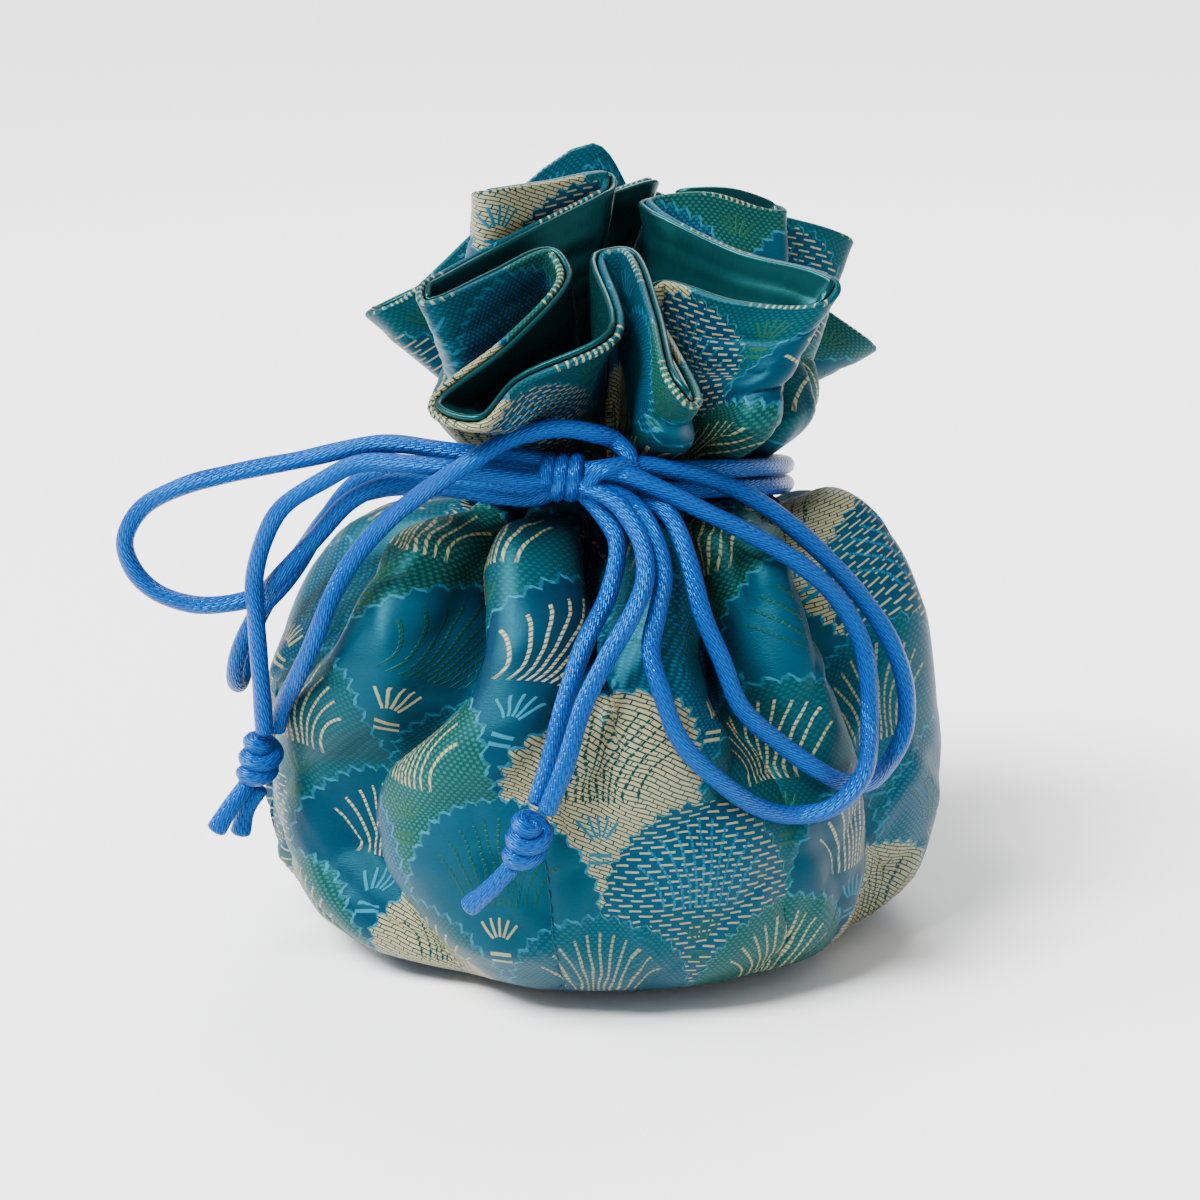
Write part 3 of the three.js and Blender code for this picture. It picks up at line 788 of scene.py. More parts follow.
@dataclass(frozen=True)
class FanSprig:
    """A small sprig with two bars below it, which fills the foot of a fan.

    Lengths are in millimetres and turns in radians. Drops are measured down
    from the fan's middle.
    """

    drop: float = 7.2
    twig_turn: float = 0.3
    half_spread: float = 0.72
    twigs: tuple[float, float] = (1.9, 5.4)
    half_width: float = 0.14
    soft_half_width: float = 0.27
    bar_pitch: float = 1.3
    bar_fill: float = 0.45
    bar_start_drop: float = 9.6
    bar_drop: float = 8.9
    bar_half_height: float = 1.3
    bar_half_width: float = 1.7

    def draw(self, x: Term, y: Term) -> Term:
        """Draws the sprig and its bars.

        Args:
            x: Millimetres right of the fan's middle.
            y: Millimetres above it.

        Returns:
            The mask.
        """
        up = y + self.drop
        turn = x.sum("ARCTAN2", up)
        far = (x * x + up * up).sum("SQRT")
        gap = ((turn / self.twig_turn + 0.5).cycle() - 0.5).size() * self.twig_turn * far
        line = gap.fade(self.half_width, self.soft_half_width)
        near_end, far_end = self.twigs
        sprig = both(line, far.above(near_end), far.below(far_end), turn.size().below(self.half_spread))
        stripes = ((y + self.bar_start_drop) / self.bar_pitch).cycle().below(self.bar_fill)
        within = both((y + self.bar_drop).size().below(self.bar_half_height), x.size().below(self.bar_half_width))
        return either(sprig, both(stripes, within))


@dataclass(frozen=True)
class Colourway:
    """The thread colours of one fan."""

    ground: str
    thread: str
    floats: Floats
    ribs: str
    foot: str
    outline: str


@dataclass(frozen=True)
class FanBrocade:
    """Jacquard brocade: satin ground with fans of floating threads in staggered rows.

    The satin ground is close and slightly glossy. The floats stand a little
    proud of it, catch the light and break each colour into short stitches.
    Real threads are about 0.15 mm thick, too fine to show, so the floats are
    drawn 0.3 to 0.5 mm wide.

    Sizes are in millimetres on the flat cloth. Neighbouring outlines keep a
    margin across and up, and are stepped by two zigzags, each with a length
    and a depth. The pattern leaves its straight grid by up to half the stray.
    """

    pitch: float = 32.5
    rise: float = 18.0
    stray: float = 2.0
    margin: tuple[float, float] = (0.35, 0.6)
    zigzags: tuple[tuple[float, float], ...] = ((2.7, 1.15), (1.13, 0.3))
    outline: float = 0.24
    outline_soft: float = 0.14
    stitch: float = 0.85
    ribs: FanRibs = FanRibs()
    sprig: FanSprig = FanSprig()
    ways: tuple[Colourway, ...] = (
        Colourway("#021f25", "#8a825d", Floats.TWILL, "#031f18", "#0e4e64", "#0f566c"),
        Colourway("#02273e", "#817958", Floats.DASHES, "#024e6a", "#0d3419", "#0a2819"),
        Colourway("#022831", "#063c42", Floats.DOTS, "#8c8461", "#133a1a", "#0f566c"),
        Colourway("#021f34", "#021f34", Floats.PLAIN, "#918965", "#175c72", "#175c72"),
        Colourway("#022734", "#023e4f", Floats.DOTS, "#767050", "#0e4e64", "#0f566c"),
        Colourway("#02253a", "#024860", Floats.DOTS, "#0e2e17", "#867e5b", "#175c72"),
        Colourway("#022928", "#154d42", Floats.DOTS, "#8a835f", "#133a1a", "#1a5f6f"),
        Colourway("#022c3e", "#022c3e", Floats.PLAIN, "#0c2e1a", "#867e5b", "#175c72"),
    )

    def build(self) -> bpy.types.Material:
        """Draws the fans.

        Returns:
            The material.
        """
        finish = Finish("jacquard_brocade", Roughness=0.46, Specular_IOR_Level=0.34)
        finish.tint(0.12, 0.8, 1.0)
        tree = finish.tree
        x, y = finish.flat()
        wander = (finish.noise(x * 0.05, y * 0.05) - 0.5) * self.stray
        x, y = x + wander, y + wander
        row = (y / self.rise).floor()
        up = y - row * self.rise
        shift, upper_shift = row.cycle(2.0) * (self.pitch / 2), (row + 1.0).cycle(2.0) * (self.pitch / 2)
        column = ((x + shift) / self.pitch + 0.5).floor()
        upper_column = ((x + upper_shift) / self.pitch + 0.5).floor()
        across = x + shift - column * self.pitch
        upper_across = x + upper_shift - upper_column * self.pitch
        # The outline is an ellipse with small steps, and what lies above it belongs to the row above.
        wide, tall = self.pitch / 2 - self.margin[0], self.rise - self.margin[1]
        stretch = ((across / wide).sum("POWER", 2.0) + (up / tall).sum("POWER", 2.0)).sum("SQRT")
        turn = (across / wide).sum("ARCTAN2", up / tall) * tall
        coarse, fine = ((turn.wave(length) - 0.5) * depth for length, depth in self.zigzags)
        rim = (stretch - 1.0) * tall - (coarse + fine)
        inside = rim.below(0.0)
        px = inside.choose(across, upper_across)
        py = inside.choose(up, up - self.rise)
        fan_row = row + 1.0 - inside
        fan_column = inside.choose(column, upper_column)
        pick = ((fan_column + fan_row) * 2.0 + fan_row.cycle(2.0)).cycle(8.0)
        far = (px * px + py * py).sum("SQRT")
        on_rib = self.ribs.draw(px, py, far)
        on_foot = self.sprig.draw(px, py)
        broken = (turn / self.zigzags[0][0]).cycle().below(0.5) * 0.6 + 0.4
        on_rim = rim.size().fade(self.outline, self.outline + self.outline_soft) * broken

        def of_kind(kind: Floats) -> Term:
            """1 on the fans whose loose threads lie in one way."""
            hits = [(pick - float(i)).size().below(0.5) for i, way in enumerate(self.ways) if way.floats is kind]
            return either(*hits)

        floats = either(*(both(of_kind(kind), weave.draw(x, y)) for kind, weave in WEAVES.items()))
        stitch = ((far / self.stitch).cycle() - 0.5).size().fade(0.28, 0.42)
        colour = finish.colours(pick, tuple(way.ground for way in self.ways))
        layers = (
            ("thread", floats),
            ("ribs", on_rib * (stitch * 0.8 + 0.2)),
            ("foot", on_foot),
            ("outline", on_rim * (stitch * 0.3 + 0.7)),
        )
        for part, mask in layers:
            dyed = finish.colours(pick, tuple(getattr(way, part) for way in self.ways))
            colour = blend(tree, mask, colour, dyed)
        grain = finish.noise(x * 1.1, y * 5.5, 3.0)
        cloudy = finish.noise(x * 0.09, y * 0.09, 2.0)
        shade = grain * 0.7 + cloudy * 0.4 + 0.42
        shaded = add_node(tree, "ShaderNodeVectorMath", {0: colour, 3: shade}, operation="SCALE")
        finish.colour(shaded.outputs[0])
        raised = either(floats * 0.6, on_rib * stitch, on_foot * 0.9, on_rim * 0.9)
        finish.relief(raised * 0.6 + grain * 0.4, 0.16, 0.8)
        return finish.material


@dataclass(frozen=True)
class LiningSatin:
    """Polyester satin: long warp floats that give it a soft directional gloss and deep, dark folds, with painted sheen
    streaks and painted shade in its colour.
    """

    # lit is the satin's painted sheen colour and deep its painted shade colour.
    lit: str = "#032d30"
    deep: str = "#010c0e"

    def build(self) -> bpy.types.Material:
        """Makes the finish.

        Returns:
            The material.
        """
        finish = Finish("polyester_satin", Roughness=0.27, Specular_IOR_Level=0.5)
        finish.tint(0.08, 0.75, 0.8)
        x, y = finish.flat()
        # The colour swings between them along thread streaks and soft clouds: painted sheen streaks and painted shade,
        # laid out at random; the streaks are also the bump.
        thread = finish.noise(x * 3.2, y * 0.35, 3.0)
        sheen_and_shade_clouds = finish.noise(x * 0.12, y * 0.12)
        finish.colour(blend(finish.tree, thread * 0.5 + sheen_and_shade_clouds * 0.5, linear(self.deep), linear(self.lit)))
        finish.relief(thread, 0.05, 0.5)
        return finish.material


@dataclass(frozen=True)
class CordSatin:
    """Satin cord: a soft core in a close sleeve of fine glossy threads that wind slightly round it.

    The real threads are finer than a pixel, so they are drawn about 0.4 mm wide. Their colour has painted highlight on
    each crown and painted shade in the grooves.
    """

    # lit is the cord's painted highlight colour and deep its painted shade colour.
    lit: str = "#02459a"
    deep: str = "#01143e"

    def build(self) -> bpy.types.Material:
        """Makes the finish.

        Returns:
            The material.
        """
        finish = Finish("satin_cord", Roughness=0.28, Specular_IOR_Level=0.9)
        finish.tint(0.03, 0.4, 1.0)
        x, y = finish.flat()
        wound = (x + y * 0.3) / 0.43 + finish.noise(x * 0.5, y * 0.5) * 1.2
        lane = wound.floor()
        # The mask is high on each thread's crown and middle and low in the grooves and at the float ends: painted
        # highlight and painted shade in the colour, and also the bump.
        ridge = 1.0 - ((wound.cycle() - 0.5).size() * 2.0).sum("POWER", 2.0)
        float_swell_and_shade = 1.0 - ((((y - x * 0.3) / 2.3 + lane * 0.37).cycle() - 0.5).size() * 2.0).sum("POWER", 3.0)
        fuzz = finish.noise(wound * 1.6, y * 0.6, 3.0)
        thread = ridge * float_swell_and_shade * 0.7 + fuzz * 0.3
        # The base colour goes from the painted shade colour to the painted highlight colour by that mask.
        finish.colour(blend(finish.tree, thread, linear(self.deep), linear(self.lit)))
        finish.relief(thread, 0.22, 0.8)
        return finish.material


@dataclass(frozen=True)
class SewingThread:
    """Spun polyester sewing thread, dull and darker than the cloth."""

    colour: str = "#0f3d4d"
    shade: str = "#082833"

    def build(self) -> bpy.types.Material:
        """Makes the finish.

        Returns:
            The material.
        """
        finish = Finish("sewing_thread", Roughness=0.75, Specular_IOR_Level=0.3)
        place = add_node(finish.tree, "ShaderNodeTexCoord")
        values = {"Vector": place.outputs["Object"], "Scale": 2600.0, "Detail": 1.0}
        fuzz = Term(finish.tree, add_node(finish.tree, "ShaderNodeTexNoise", values).outputs[0])
        finish.colour(blend(finish.tree, fuzz, linear(self.shade), linear(self.colour)))
        return finish.material


@dataclass(frozen=True)
class StudioPaper:
    """Seamless white studio paper: smooth and matt, with the faintest tooth."""

    colour: str = "#fbfbfb"
    shade: str = "#f8f8f8"

    def build(self) -> bpy.types.Material:
        """Makes the finish.

        Returns:
            The material.
        """
        finish = Finish("studio_paper", Roughness=0.9, Specular_IOR_Level=0.1)
        place = add_node(finish.tree, "ShaderNodeTexCoord")
        values = {"Vector": place.outputs["Object"], "Scale": 900.0}
        tooth = Term(finish.tree, add_node(finish.tree, "ShaderNodeTexNoise", values).outputs[0])
        finish.colour(blend(finish.tree, tooth, linear(self.shade), linear(self.colour)))
        return finish.material


# Meshes.


def loft(
    name: str,
    rows: np.ndarray,
    along: np.ndarray,
    up: np.ndarray,
    closed_rows: bool = False,
    caps: bool = False,
) -> bpy.types.Object:
    """A closed skin over rows of points that each run right round the piece.

    Args:
        name: The piece's name.
        rows: Points in millimetres, one row after another.
        along: Lengths along each row, with one more column than rows has.
        up: Lengths from row to row, in the same layout.
        closed_rows: Whether the last row joins the first.
        caps: Whether the first and last rows are closed with a fan.

    Returns:
        The object, with a UV map in millimetres.
    """
    count, width = rows.shape[:2]
    points = rows.reshape(-1, 3)
    lines = np.arange(count if closed_rows else count - 1)
    row, col = np.meshgrid(lines, np.arange(width), indexing="ij")
    after, beside = (row + 1) % count, (col + 1) % width
    quads = np.stack([row * width + col, row * width + beside, after * width + beside, after * width + col], axis=-1)
    map_x = np.stack([along[row, col], along[row, col + 1], along[after, col + 1], along[after, col]], axis=-1)
    map_y = np.stack([up[row, col], up[row, col + 1], up[after, col + 1], up[after, col]], axis=-1)
    faces = quads.reshape(-1, 4).tolist()
    maps = np.stack([map_x, map_y], axis=-1).reshape(-1, 2)
    if caps:
        spokes = np.arange(width)
        ends = ((0, spokes, (spokes + 1) % width), ((count - 1) * width, (spokes + 1) % width, spokes))
        for start, left, right in ends:
            hub = len(points)
            points = np.vstack([points, points[start : start + width].mean(axis=0)])
            fan = np.stack([np.full(width, hub), start + right, start + left], axis=1)
            faces.extend(fan.tolist())
            maps = np.vstack([maps, points[fan.reshape(-1)][:, :2]])
    mesh = bpy.data.meshes.new(name)
    mesh.from_pydata((points * MM).tolist(), [], faces)
    layer = mesh.uv_layers.new(name="cloth")
    layer.data.foreach_set("uv", maps.astype(np.float32).reshape(-1))
    mesh.polygons.foreach_set("use_smooth", np.ones(len(faces), bool))
    mesh.update()
    piece = bpy.data.objects.new(name, mesh)
    bpy.context.scene.collection.objects.link(piece)
    return piece


def tube(name: str, path: np.ndarray, radius: float, sides: int = 24, flare: float = 0.0) -> bpy.types.Object:
    """A round cord along a path, with domed ends.

    Args:
        name: The piece's name.
        path: Closely spaced points in millimetres.
        radius: The cord's radius in millimetres.
        sides: How many faces go round it.
        flare: How much wider the last millimetres are, as a share of the radius.

    Returns:
        The cord.
    """
    course = unit(np.gradient(path, axis=0))
    side = np.cross(course[0], (0.0, 0.0, 1.0))
    if np.linalg.norm(side) < 0.2:
        side = np.cross(course[0], (0.0, 1.0, 0.0))
    carried = []
    for direction in course:
        side = side - direction * np.dot(side, direction)
        side = side / np.linalg.norm(side)
        carried.append(side)
    side = np.array(carried)
    front = np.cross(course, side)
    steps = np.concatenate([[0.0], np.cumsum(np.linalg.norm(np.diff(path, axis=0), axis=1))])
    angle = np.linspace(0, 2 * math.pi, sides, endpoint=False)
    swell = 1 + flare * smooth((steps - steps[-1] + 3.0) / 3.0)
    soft = 1 + 0.02 * np.sin(steps[:, None] / 1.7 + 2 * angle[None, :]) + 0.015 * np.sin(steps[:, None] / 4.1)
    ring = side[:, None, :] * np.cos(angle)[None, :, None] + front[:, None, :] * np.sin(angle)[None, :, None]
    body = path[:, None, :] + ring * (radius * swell[:, None] * soft)[..., None]

    def dome(end: int, way: int) -> np.ndarray:
        """The narrowing rows that round off one end, from the cord outwards."""
        rows = []
        for share in (0.35, 0.7, 0.92):
            inset = math.sqrt(1 - share**2)
            rows.append(path[end] + way * course[end] * radius * 0.5 * share + ring[end] * radius * inset * swell[end])
        return np.array(rows)

    rows = np.concatenate([dome(0, -1)[::-1], body, dome(-1, 1)])
    travel = np.concatenate([[-1.2, -0.8, -0.4], steps, steps[-1] + np.array([0.4, 0.8, 1.2])])
    along = np.tile(np.linspace(0, 2 * math.pi * radius, sides + 1), (len(rows), 1))
    return loft(name, rows, along, np.repeat(travel[:, None], sides + 1, axis=1), caps=True)


def dress(piece: bpy.types.Object, material: bpy.types.Material, slot: str, *nodes: str) -> bpy.types.Object:
    """Puts a finish on a piece that stands for some of the solids.

    Args:
        piece: The piece.
        material: Its finish.
        slot: The record's material slot; not used.
        nodes: The solids that it replaces.

    Returns:
        The piece.
    """
    piece.data.materials.clear()
    piece.data.materials.append(material)
    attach(piece, "root")
    if nodes:
        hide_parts(*nodes)
    log.info("%s: %d faces", piece.name, len(piece.data.polygons))
    return piece


# The camera and the cords.


@dataclass
class Studio:
    """The camera at the photograph's angle, white paper to stand on, and soft lights.

    The camera's lengths are in millimetres and its elevation in degrees. The
    paper's reach is in metres, and the sun's width in degrees.
    """

    distance: float = 600.0
    elevation: float = 16.0
    aim_height: float = 55.9
    lens: float = 105.87
    paper_reach: float = 30.0
    sun_width: float = 26.0
    sun_strength: float = 9.0
    room_strength: float = 0.66

    def place_camera(self) -> None:
        """Sets the scene's camera."""
        camera = bpy.data.cameras.new("camera")
        camera.lens = self.lens
        camera.sensor_width = 36.0
        camera.clip_start = 0.01
        view = bpy.data.objects.new("camera", camera)
        tilt = math.radians(self.elevation)
        back, up = self.distance * math.cos(tilt), self.distance * math.sin(tilt) + self.aim_height
        view.location = Vector((0.0, -back, up)) * MM
        view.rotation_euler = (math.pi / 2 - tilt, 0.0, 0.0)
        bpy.context.scene.collection.objects.link(view)
        bpy.context.scene.camera = view

    def light(self, name: str, place: tuple, aim: tuple, size: float, power: float) -> None:
        """Adds one soft square light.

        Args:
            name: The light's name.
            place: Where it hangs, in metres.
            aim: What it points at, in metres.
            size: Its side in metres.
            power: Its power in watts.
        """
        lamp = bpy.data.lights.new(name, "AREA")
        lamp.shape = "SQUARE"
        lamp.size = size
        lamp.energy = power
        item = bpy.data.objects.new(name, lamp)
        item.location = place
        item.rotation_euler = (Vector(aim) - Vector(place)).to_track_quat("-Z", "Y").to_euler()
        bpy.context.scene.collection.objects.link(item)

    def sun(self, name: str, place: tuple, spread: float, strength: float) -> None:
        """Adds one even light from far away.

        Args:
            name: The light's name.
            place: A point in the direction that it comes from.
            spread: How wide it looks, in radians.
            strength: Its strength.
        """
        lamp = bpy.data.lights.new(name, "SUN")
        lamp.angle = spread
        lamp.energy = strength
        item = bpy.data.objects.new(name, lamp)
        item.rotation_euler = Vector(place).to_track_quat("Z", "Y").to_euler()
        bpy.context.scene.collection.objects.link(item)

    def build(self) -> None:
        """Lays the paper and hangs the lights."""
        mesh = bpy.data.meshes.new("studio_paper")
        reach = self.paper_reach
        corners = [(-reach, -reach, 0), (reach, -reach, 0), (reach, reach, 0), (-reach, reach, 0)]
        mesh.from_pydata(corners, [], [(0, 1, 2, 3)])
        floor = bpy.data.objects.new("studio_paper", mesh)
        mesh.materials.append(StudioPaper().build())
        bpy.context.scene.collection.objects.link(floor)
        aim = (0.0, 0.0, 0.06)
        self.sun("key_light", (-0.7, -0.62, 1.25), math.radians(self.sun_width), self.sun_strength)
        self.light("left_light", (-0.55, -0.1, 0.5), aim, 0.3, 5.0)
        self.light("back_light", (0.1, 0.55, 0.75), aim, 0.5, 6.0)
        world = bpy.data.worlds.new("white_room")
        world.use_nodes = True
        glow = world.node_tree.nodes["Background"]
        glow.inputs["Color"].default_value = (1.0, 1.0, 1.0, 1.0)
        glow.inputs["Strength"].default_value = self.room_strength
        bpy.context.scene.world = world


class FarEnd(Enum):
    """What a run of cord comes to at its far end."""

    OBJECT = "object"
    KNOT = "knot"
    BARE = "bare"


class Lay(Enum):
    """How a run of cord lies."""

    LOOSE = "loose"
    HANGING = "hanging"


@dataclass(frozen=True)
class CordRun:
    """One visible run of the cord, from the bow outwards, by points on its middle line in millimetres."""

    name: str
    far_end: FarEnd
    lay: Lay
    points: tuple[tuple[float, float, float], ...]


CORD_RUNS = (
    CordRun("loop_left_long", FarEnd.OBJECT, Lay.LOOSE, (
        (-6, -32.4, 86.6),
        (-10.4, -32, 88.2), (-17.5, -31, 88.6), (-24.3, -30, 89.2), (-34.4, -28, 89.9),
        (-48.4, -25, 86.5), (-59.2, -24, 84.1), (-67.3, -24, 81.9), (-74.4, -23, 77.8),
        (-77.2, -23, 72.5), (-76, -23, 67.7), (-72.6, -23, 64), (-66.8, -23, 61.8),
        (-61.4, -23, 61.8), (-55.4, -23, 63.4), (-51.6, -25, 67.5), (-46, -25, 73.5),
        (-40.4, -26, 79.8), (-35, -27, 82.7), (-26.9, -28, 83.9), (-18.4, -29, 83.8),
        (-10.4, -31, 84),
        (-6, -32, 85),
    )),
    CordRun("loop_left_short", FarEnd.OBJECT, Lay.HANGING, (
        (-6, -30.8, 85.8),
        (-10.4, -28, 86), (-20.9, -25, 85.6), (-31.8, -21, 83.8), (-39.1, -18, 81.4),
        (-45.1, -17, 74.4), (-51, -16, 64.8), (-57, -15, 57.6), (-60.3, -14, 50.4),
        (-61.2, -11.6, 45.4), (-60.8, -9.2, 43.9), (-60, -7.2, 46), (-59, -7, 51.1), (-55.5, -8, 58.4),
        (-49.1, -9, 67.7), (-43, -12, 75.8), (-36, -16, 79.4), (-25.9, -22, 81.2),
        (-16.1, -26, 80.8), (-10.4, -28, 81.1),
        (-6, -31, 83.8),
    )),
    CordRun("tail_left_1", FarEnd.KNOT, Lay.HANGING, (
        (-6, -33.6, 85.6),
        (-10.4, -35.3, 85.8), (-20.6, -34.4, 87), (-31.1, -32, 87.6), (-38.6, -30, 87.1),
        (-44.1, -29, 84.2), (-51.1, -28, 79.3), (-54.3, -27, 73.5), (-56, -27, 66.7),
        (-55.8, -27.5, 61.1), (-55.4, -28, 53.8), (-55.1, -28, 47.3), (-54.9, -28, 41.6),
    )),
    CordRun("tail_left_2", FarEnd.KNOT, Lay.HANGING, (
        (2.6, -34.2, 86), (4.6, -32.6, 88.6),
        (2.2, -31, 91.2), (-0.3, -32.5, 92.5), (-6.2, -34, 93.8), (-13.4, -36, 92.9),
        (-20.6, -38.4, 89.3), (-29.2, -34.8, 82.7), (-34.8, -32, 77.4), (-40.3, -31, 70.5),
        (-43.5, -32, 64.7), (-45.9, -32, 58.7), (-49.1, -30, 51.5), (-51.9, -26, 45.3),
        (-53.1, -24.8, 41.1),
    )),
    CordRun("loop_right_outer", FarEnd.OBJECT, Lay.HANGING, (
        (-3, -33.4, 85.4), (1.8, -33.2, 84.8),
        (5.5, -32, 83.2), (10.9, -36, 80.2), (13.9, -41, 74.3), (16.1, -45, 66.5),
        (19.2, -47, 59.4), (22.2, -48, 52.1), (28.9, -46, 45.2), (34, -45.2, 41.2),
        (38.7, -42.2, 37.8), (43.2, -38.4, 36.4), (47.4, -32, 38.3), (49.8, -29, 42.5),
        (49.8, -28, 48.8), (47.7, -28, 55.8), (43, -28, 63.5), (34.4, -30, 73.5),
        (26.2, -30, 80.3), (18, -30, 84.5), (11, -31, 86.4), (6.9, -31.5, 87.2),
        (2.4, -33.4, 87.4), (-3, -33, 86.6),
    )),
    CordRun("loop_right_inner", FarEnd.OBJECT, Lay.HANGING, (
        (-3, -34.4, 84.8), (1.6, -35.6, 83.8),
        (5.8, -36.4, 81.4), (8.7, -40.7, 77.4), (9.9, -44.5, 72.6), (9, -48, 67.9),
        (7.9, -51.5, 62.6), (9.5, -54.5, 56.8), (12.6, -55.5, 48.9), (19.1, -53.5, 41.4),
        (25.7, -50, 35.9), (31.3, -47.5, 34), (37.2, -47.6, 35.5), (41.9, -44.2, 39.6),
        (43.4, -36, 46.1), (42.4, -33, 57.3), (38.6, -32.5, 64.8), (32.2, -34, 71.4),
        (24, -35, 76.8), (15.8, -35.2, 81), (8.9, -35.5, 84.6),
        (3.2, -35, 86.8), (-3, -33.4, 86),
    )),
    CordRun("tail_right_1", FarEnd.KNOT, Lay.HANGING, (
        (-4.4, -33.4, 85),
        (0, -35, 80.6), (2.7, -38.5, 76.5), (1.4, -43, 69.4), (-2.3, -49, 63.1),
        (-5.4, -54, 55.2), (-8.4, -57.8, 44.3), (-9.8, -59.2, 40.3),
    )),
    CordRun("tail_right_2", FarEnd.KNOT, Lay.HANGING, (
        (-4, -34.6, 85.4),
        (2.2, -37.5, 82.9), (4.6, -40, 80.6), (6.6, -43.6, 77.2), (7, -47.4, 72.8),
        (5, -51.2, 68.3), (0.9, -54.8, 61.9), (-2.6, -57.4, 55.2), (-5.6, -60.6, 46),
        (-8.2, -61.9, 39.8),
    )),
)

CORD_STUBS = (
    CordRun("stub_left_1", FarEnd.BARE, Lay.HANGING, (
        (-58.1, -27.8, 32.2), (-61, -29, 28.4), (-63, -29.4, 25.2),
    )),
    CordRun("stub_left_2", FarEnd.BARE, Lay.HANGING, (
        (-56.2, -25.5, 30.8), (-58.4, -25.6, 27.4), (-59.5, -25.8, 23.4),
    )),
    CordRun("stub_right", FarEnd.BARE, Lay.HANGING, (
        (-13.7, -60.4, 30), (-17.6, -59.6, 25.6), (-20.4, -58.4, 22.8),
    )),
)


@dataclass(frozen=True)
class Knot:
    """A tight knot: where its middle lies, the way its cord runs on, and the size of its turns in millimetres."""

    name: str
    centre: tuple[float, float, float]
    axis: tuple[float, float, float]
    reach: float
    length: float


@dataclass
class SatinCord:
    """The 3 mm satin cord: two turns round the neck, a double bow, and tails that end in knots.

    The neck turns run between two angles from the front, in degrees, and stand
    off the gathers by the gap and a little slack. The bow's wraps use a cord
    pulled thinner by a share.
    """

    shape: PouchShape
    radius: float = 1.5
    gap: float = 0.3
    step: float = 0.7
    neck_turns: tuple[float, float] = (6.0, 691.0)
    neck_slack: float = 0.4
    pulled_thin: float = 0.86
    cut_flare: float = 0.12
    end_knots: tuple[Knot, ...] = (
        Knot("end_knot_left", (-55.8, -27.0, 36.6), (-0.35, -0.1, -1.0), 1.9, 9.4),
        Knot("end_knot_right", (-11.2, -61.2, 34.8), (-0.4, 0.1, -1.0), 1.9, 9.6),
    )
    bow: Knot = Knot("bow_knot", (-4.2, -32.6, 85.8), (1.0, 0.0, 0.1), 2.7, 8.6)
    material: bpy.types.Material = field(default_factory=lambda: CordSatin().build())

    def course(self, points: np.ndarray) -> np.ndarray:
        """Evenly spaced points along a smooth curve.

        Args:
            points: The few points that the curve passes through.

        Returns:
            The evenly spaced points.
        """
        fine = open_curve(points, np.linspace(0, 1, len(points) * 24))
        travel = np.concatenate([[0.0], np.cumsum(np.linalg.norm(np.diff(fine, axis=0), axis=1))])
        count = max(int(travel[-1] / self.step), 6)
        even = np.linspace(0, travel[-1], count)
        return np.stack([np.interp(even, travel, fine[:, i]) for i in range(3)], axis=1)

    def wrap(self) -> bpy.types.Object:
        """The two turns round the gathered neck, the second laid above the first.

        Returns:
            The cord.
        """
        reach = self.shape.neck_radius + self.shape.brocade + self.gap + self.radius + self.neck_slack
        half = self.radius + self.gap / 2
        turns = np.arange(*self.neck_turns, 12.0)
        height = mix(-half, half, smooth((turns - 330) / 36))
        points = self.shape.around(turns, reach, height, self.shape.neck_centre)
        points[:, 2] -= points[:, 1] * self.shape.neck_tilt
        return tube("wound_neck_cord", self.course(points), self.radius)

    def end_knot(self, knot: Knot) -> bpy.types.Object:
        """An overhand knot pulled tight: the cord winds twice round itself and tucks back in.

        Args:
            knot: Where it lies and how large it is.

        Returns:
            The knot.
        """
        along = np.array(knot.axis) / np.linalg.norm(knot.axis)
        side = np.cross((0.0, 1.0, 0.0), along)
        side = side / np.linalg.norm(side)
        front = np.cross(along, side)
        turn = np.linspace(-0.35, 2.15, 26)
        tuck = 1 - smooth((np.abs(turn - 0.9) - 0.95) / 0.3) * 0.85
        reach = knot.reach * tuck * (1.0 + 0.16 * np.cos(4 * math.pi * turn + 0.6))
        rise = (turn - 0.9) / 2.5 * (knot.length - 2 * self.radius) - 0.9 * np.sin(2 * math.pi * turn)
        path = np.array(knot.centre) + along * rise[:, None]
        path = path + side * (reach * np.cos(2 * math.pi * turn))[:, None]
        path = path + front * (reach * np.sin(2 * math.pi * turn))[:, None]
        return tube(f"tight_{knot.name}", self.course(path), self.radius)

    def bow_knot(self) -> bpy.types.Object:
        """Three tight wraps round the middle of the bow, whose end twists away to the right.

        Returns:
            The knot.
        """
        turn = np.linspace(0.0, 2.9, 32)
        across = self.bow.centre[0] - 4.4 + 2.2 * turn
        away = self.bow.centre[1] + 0.2 - self.bow.reach * 1.25 * np.cos(2 * math.pi * turn)
        height = self.bow.centre[2] - 0.3 + self.bow.reach * np.sin(2 * math.pi * turn)
        wraps = np.stack([across, away, height], axis=1)
        leave = np.array([(-0.6, -36.4, 87.0), (2.0, -35.8, 88.0), (4.6, -33.8, 87.6), (6.6, -31.0, 86.0)])
        return tube(f"tight_{self.bow.name}", self.course(np.vstack([wraps, leave])), self.radius * self.pulled_thin)

    def build(self) -> None:
        """Makes every piece of the cord."""
        for knot in self.end_knots:
            dress(self.end_knot(knot), self.material, "cord", knot.name)
        dress(self.bow_knot(), self.material, "cord", "bow_knot")
        for stub in CORD_STUBS:
            path = self.course(np.array(stub.points, float))
            piece = tube(stub.name.replace("stub", "cut_end"), path, self.radius, flare=self.cut_flare)
            dress(piece, self.material, "cord", stub.name)
        dress(self.wrap(), self.material, "cord", "neck_cord")
        for run in CORD_RUNS:
            path = self.course(np.array(run.points, float))
            length = float(np.linalg.norm(np.diff(path, axis=0), axis=1).sum())
            piece = dress(tube(f"{run.name}_cord", path, self.radius), self.material, "cord", run.name)
            log.info("%s is %.0f mm of cord", run.name, length)


# The cloth.


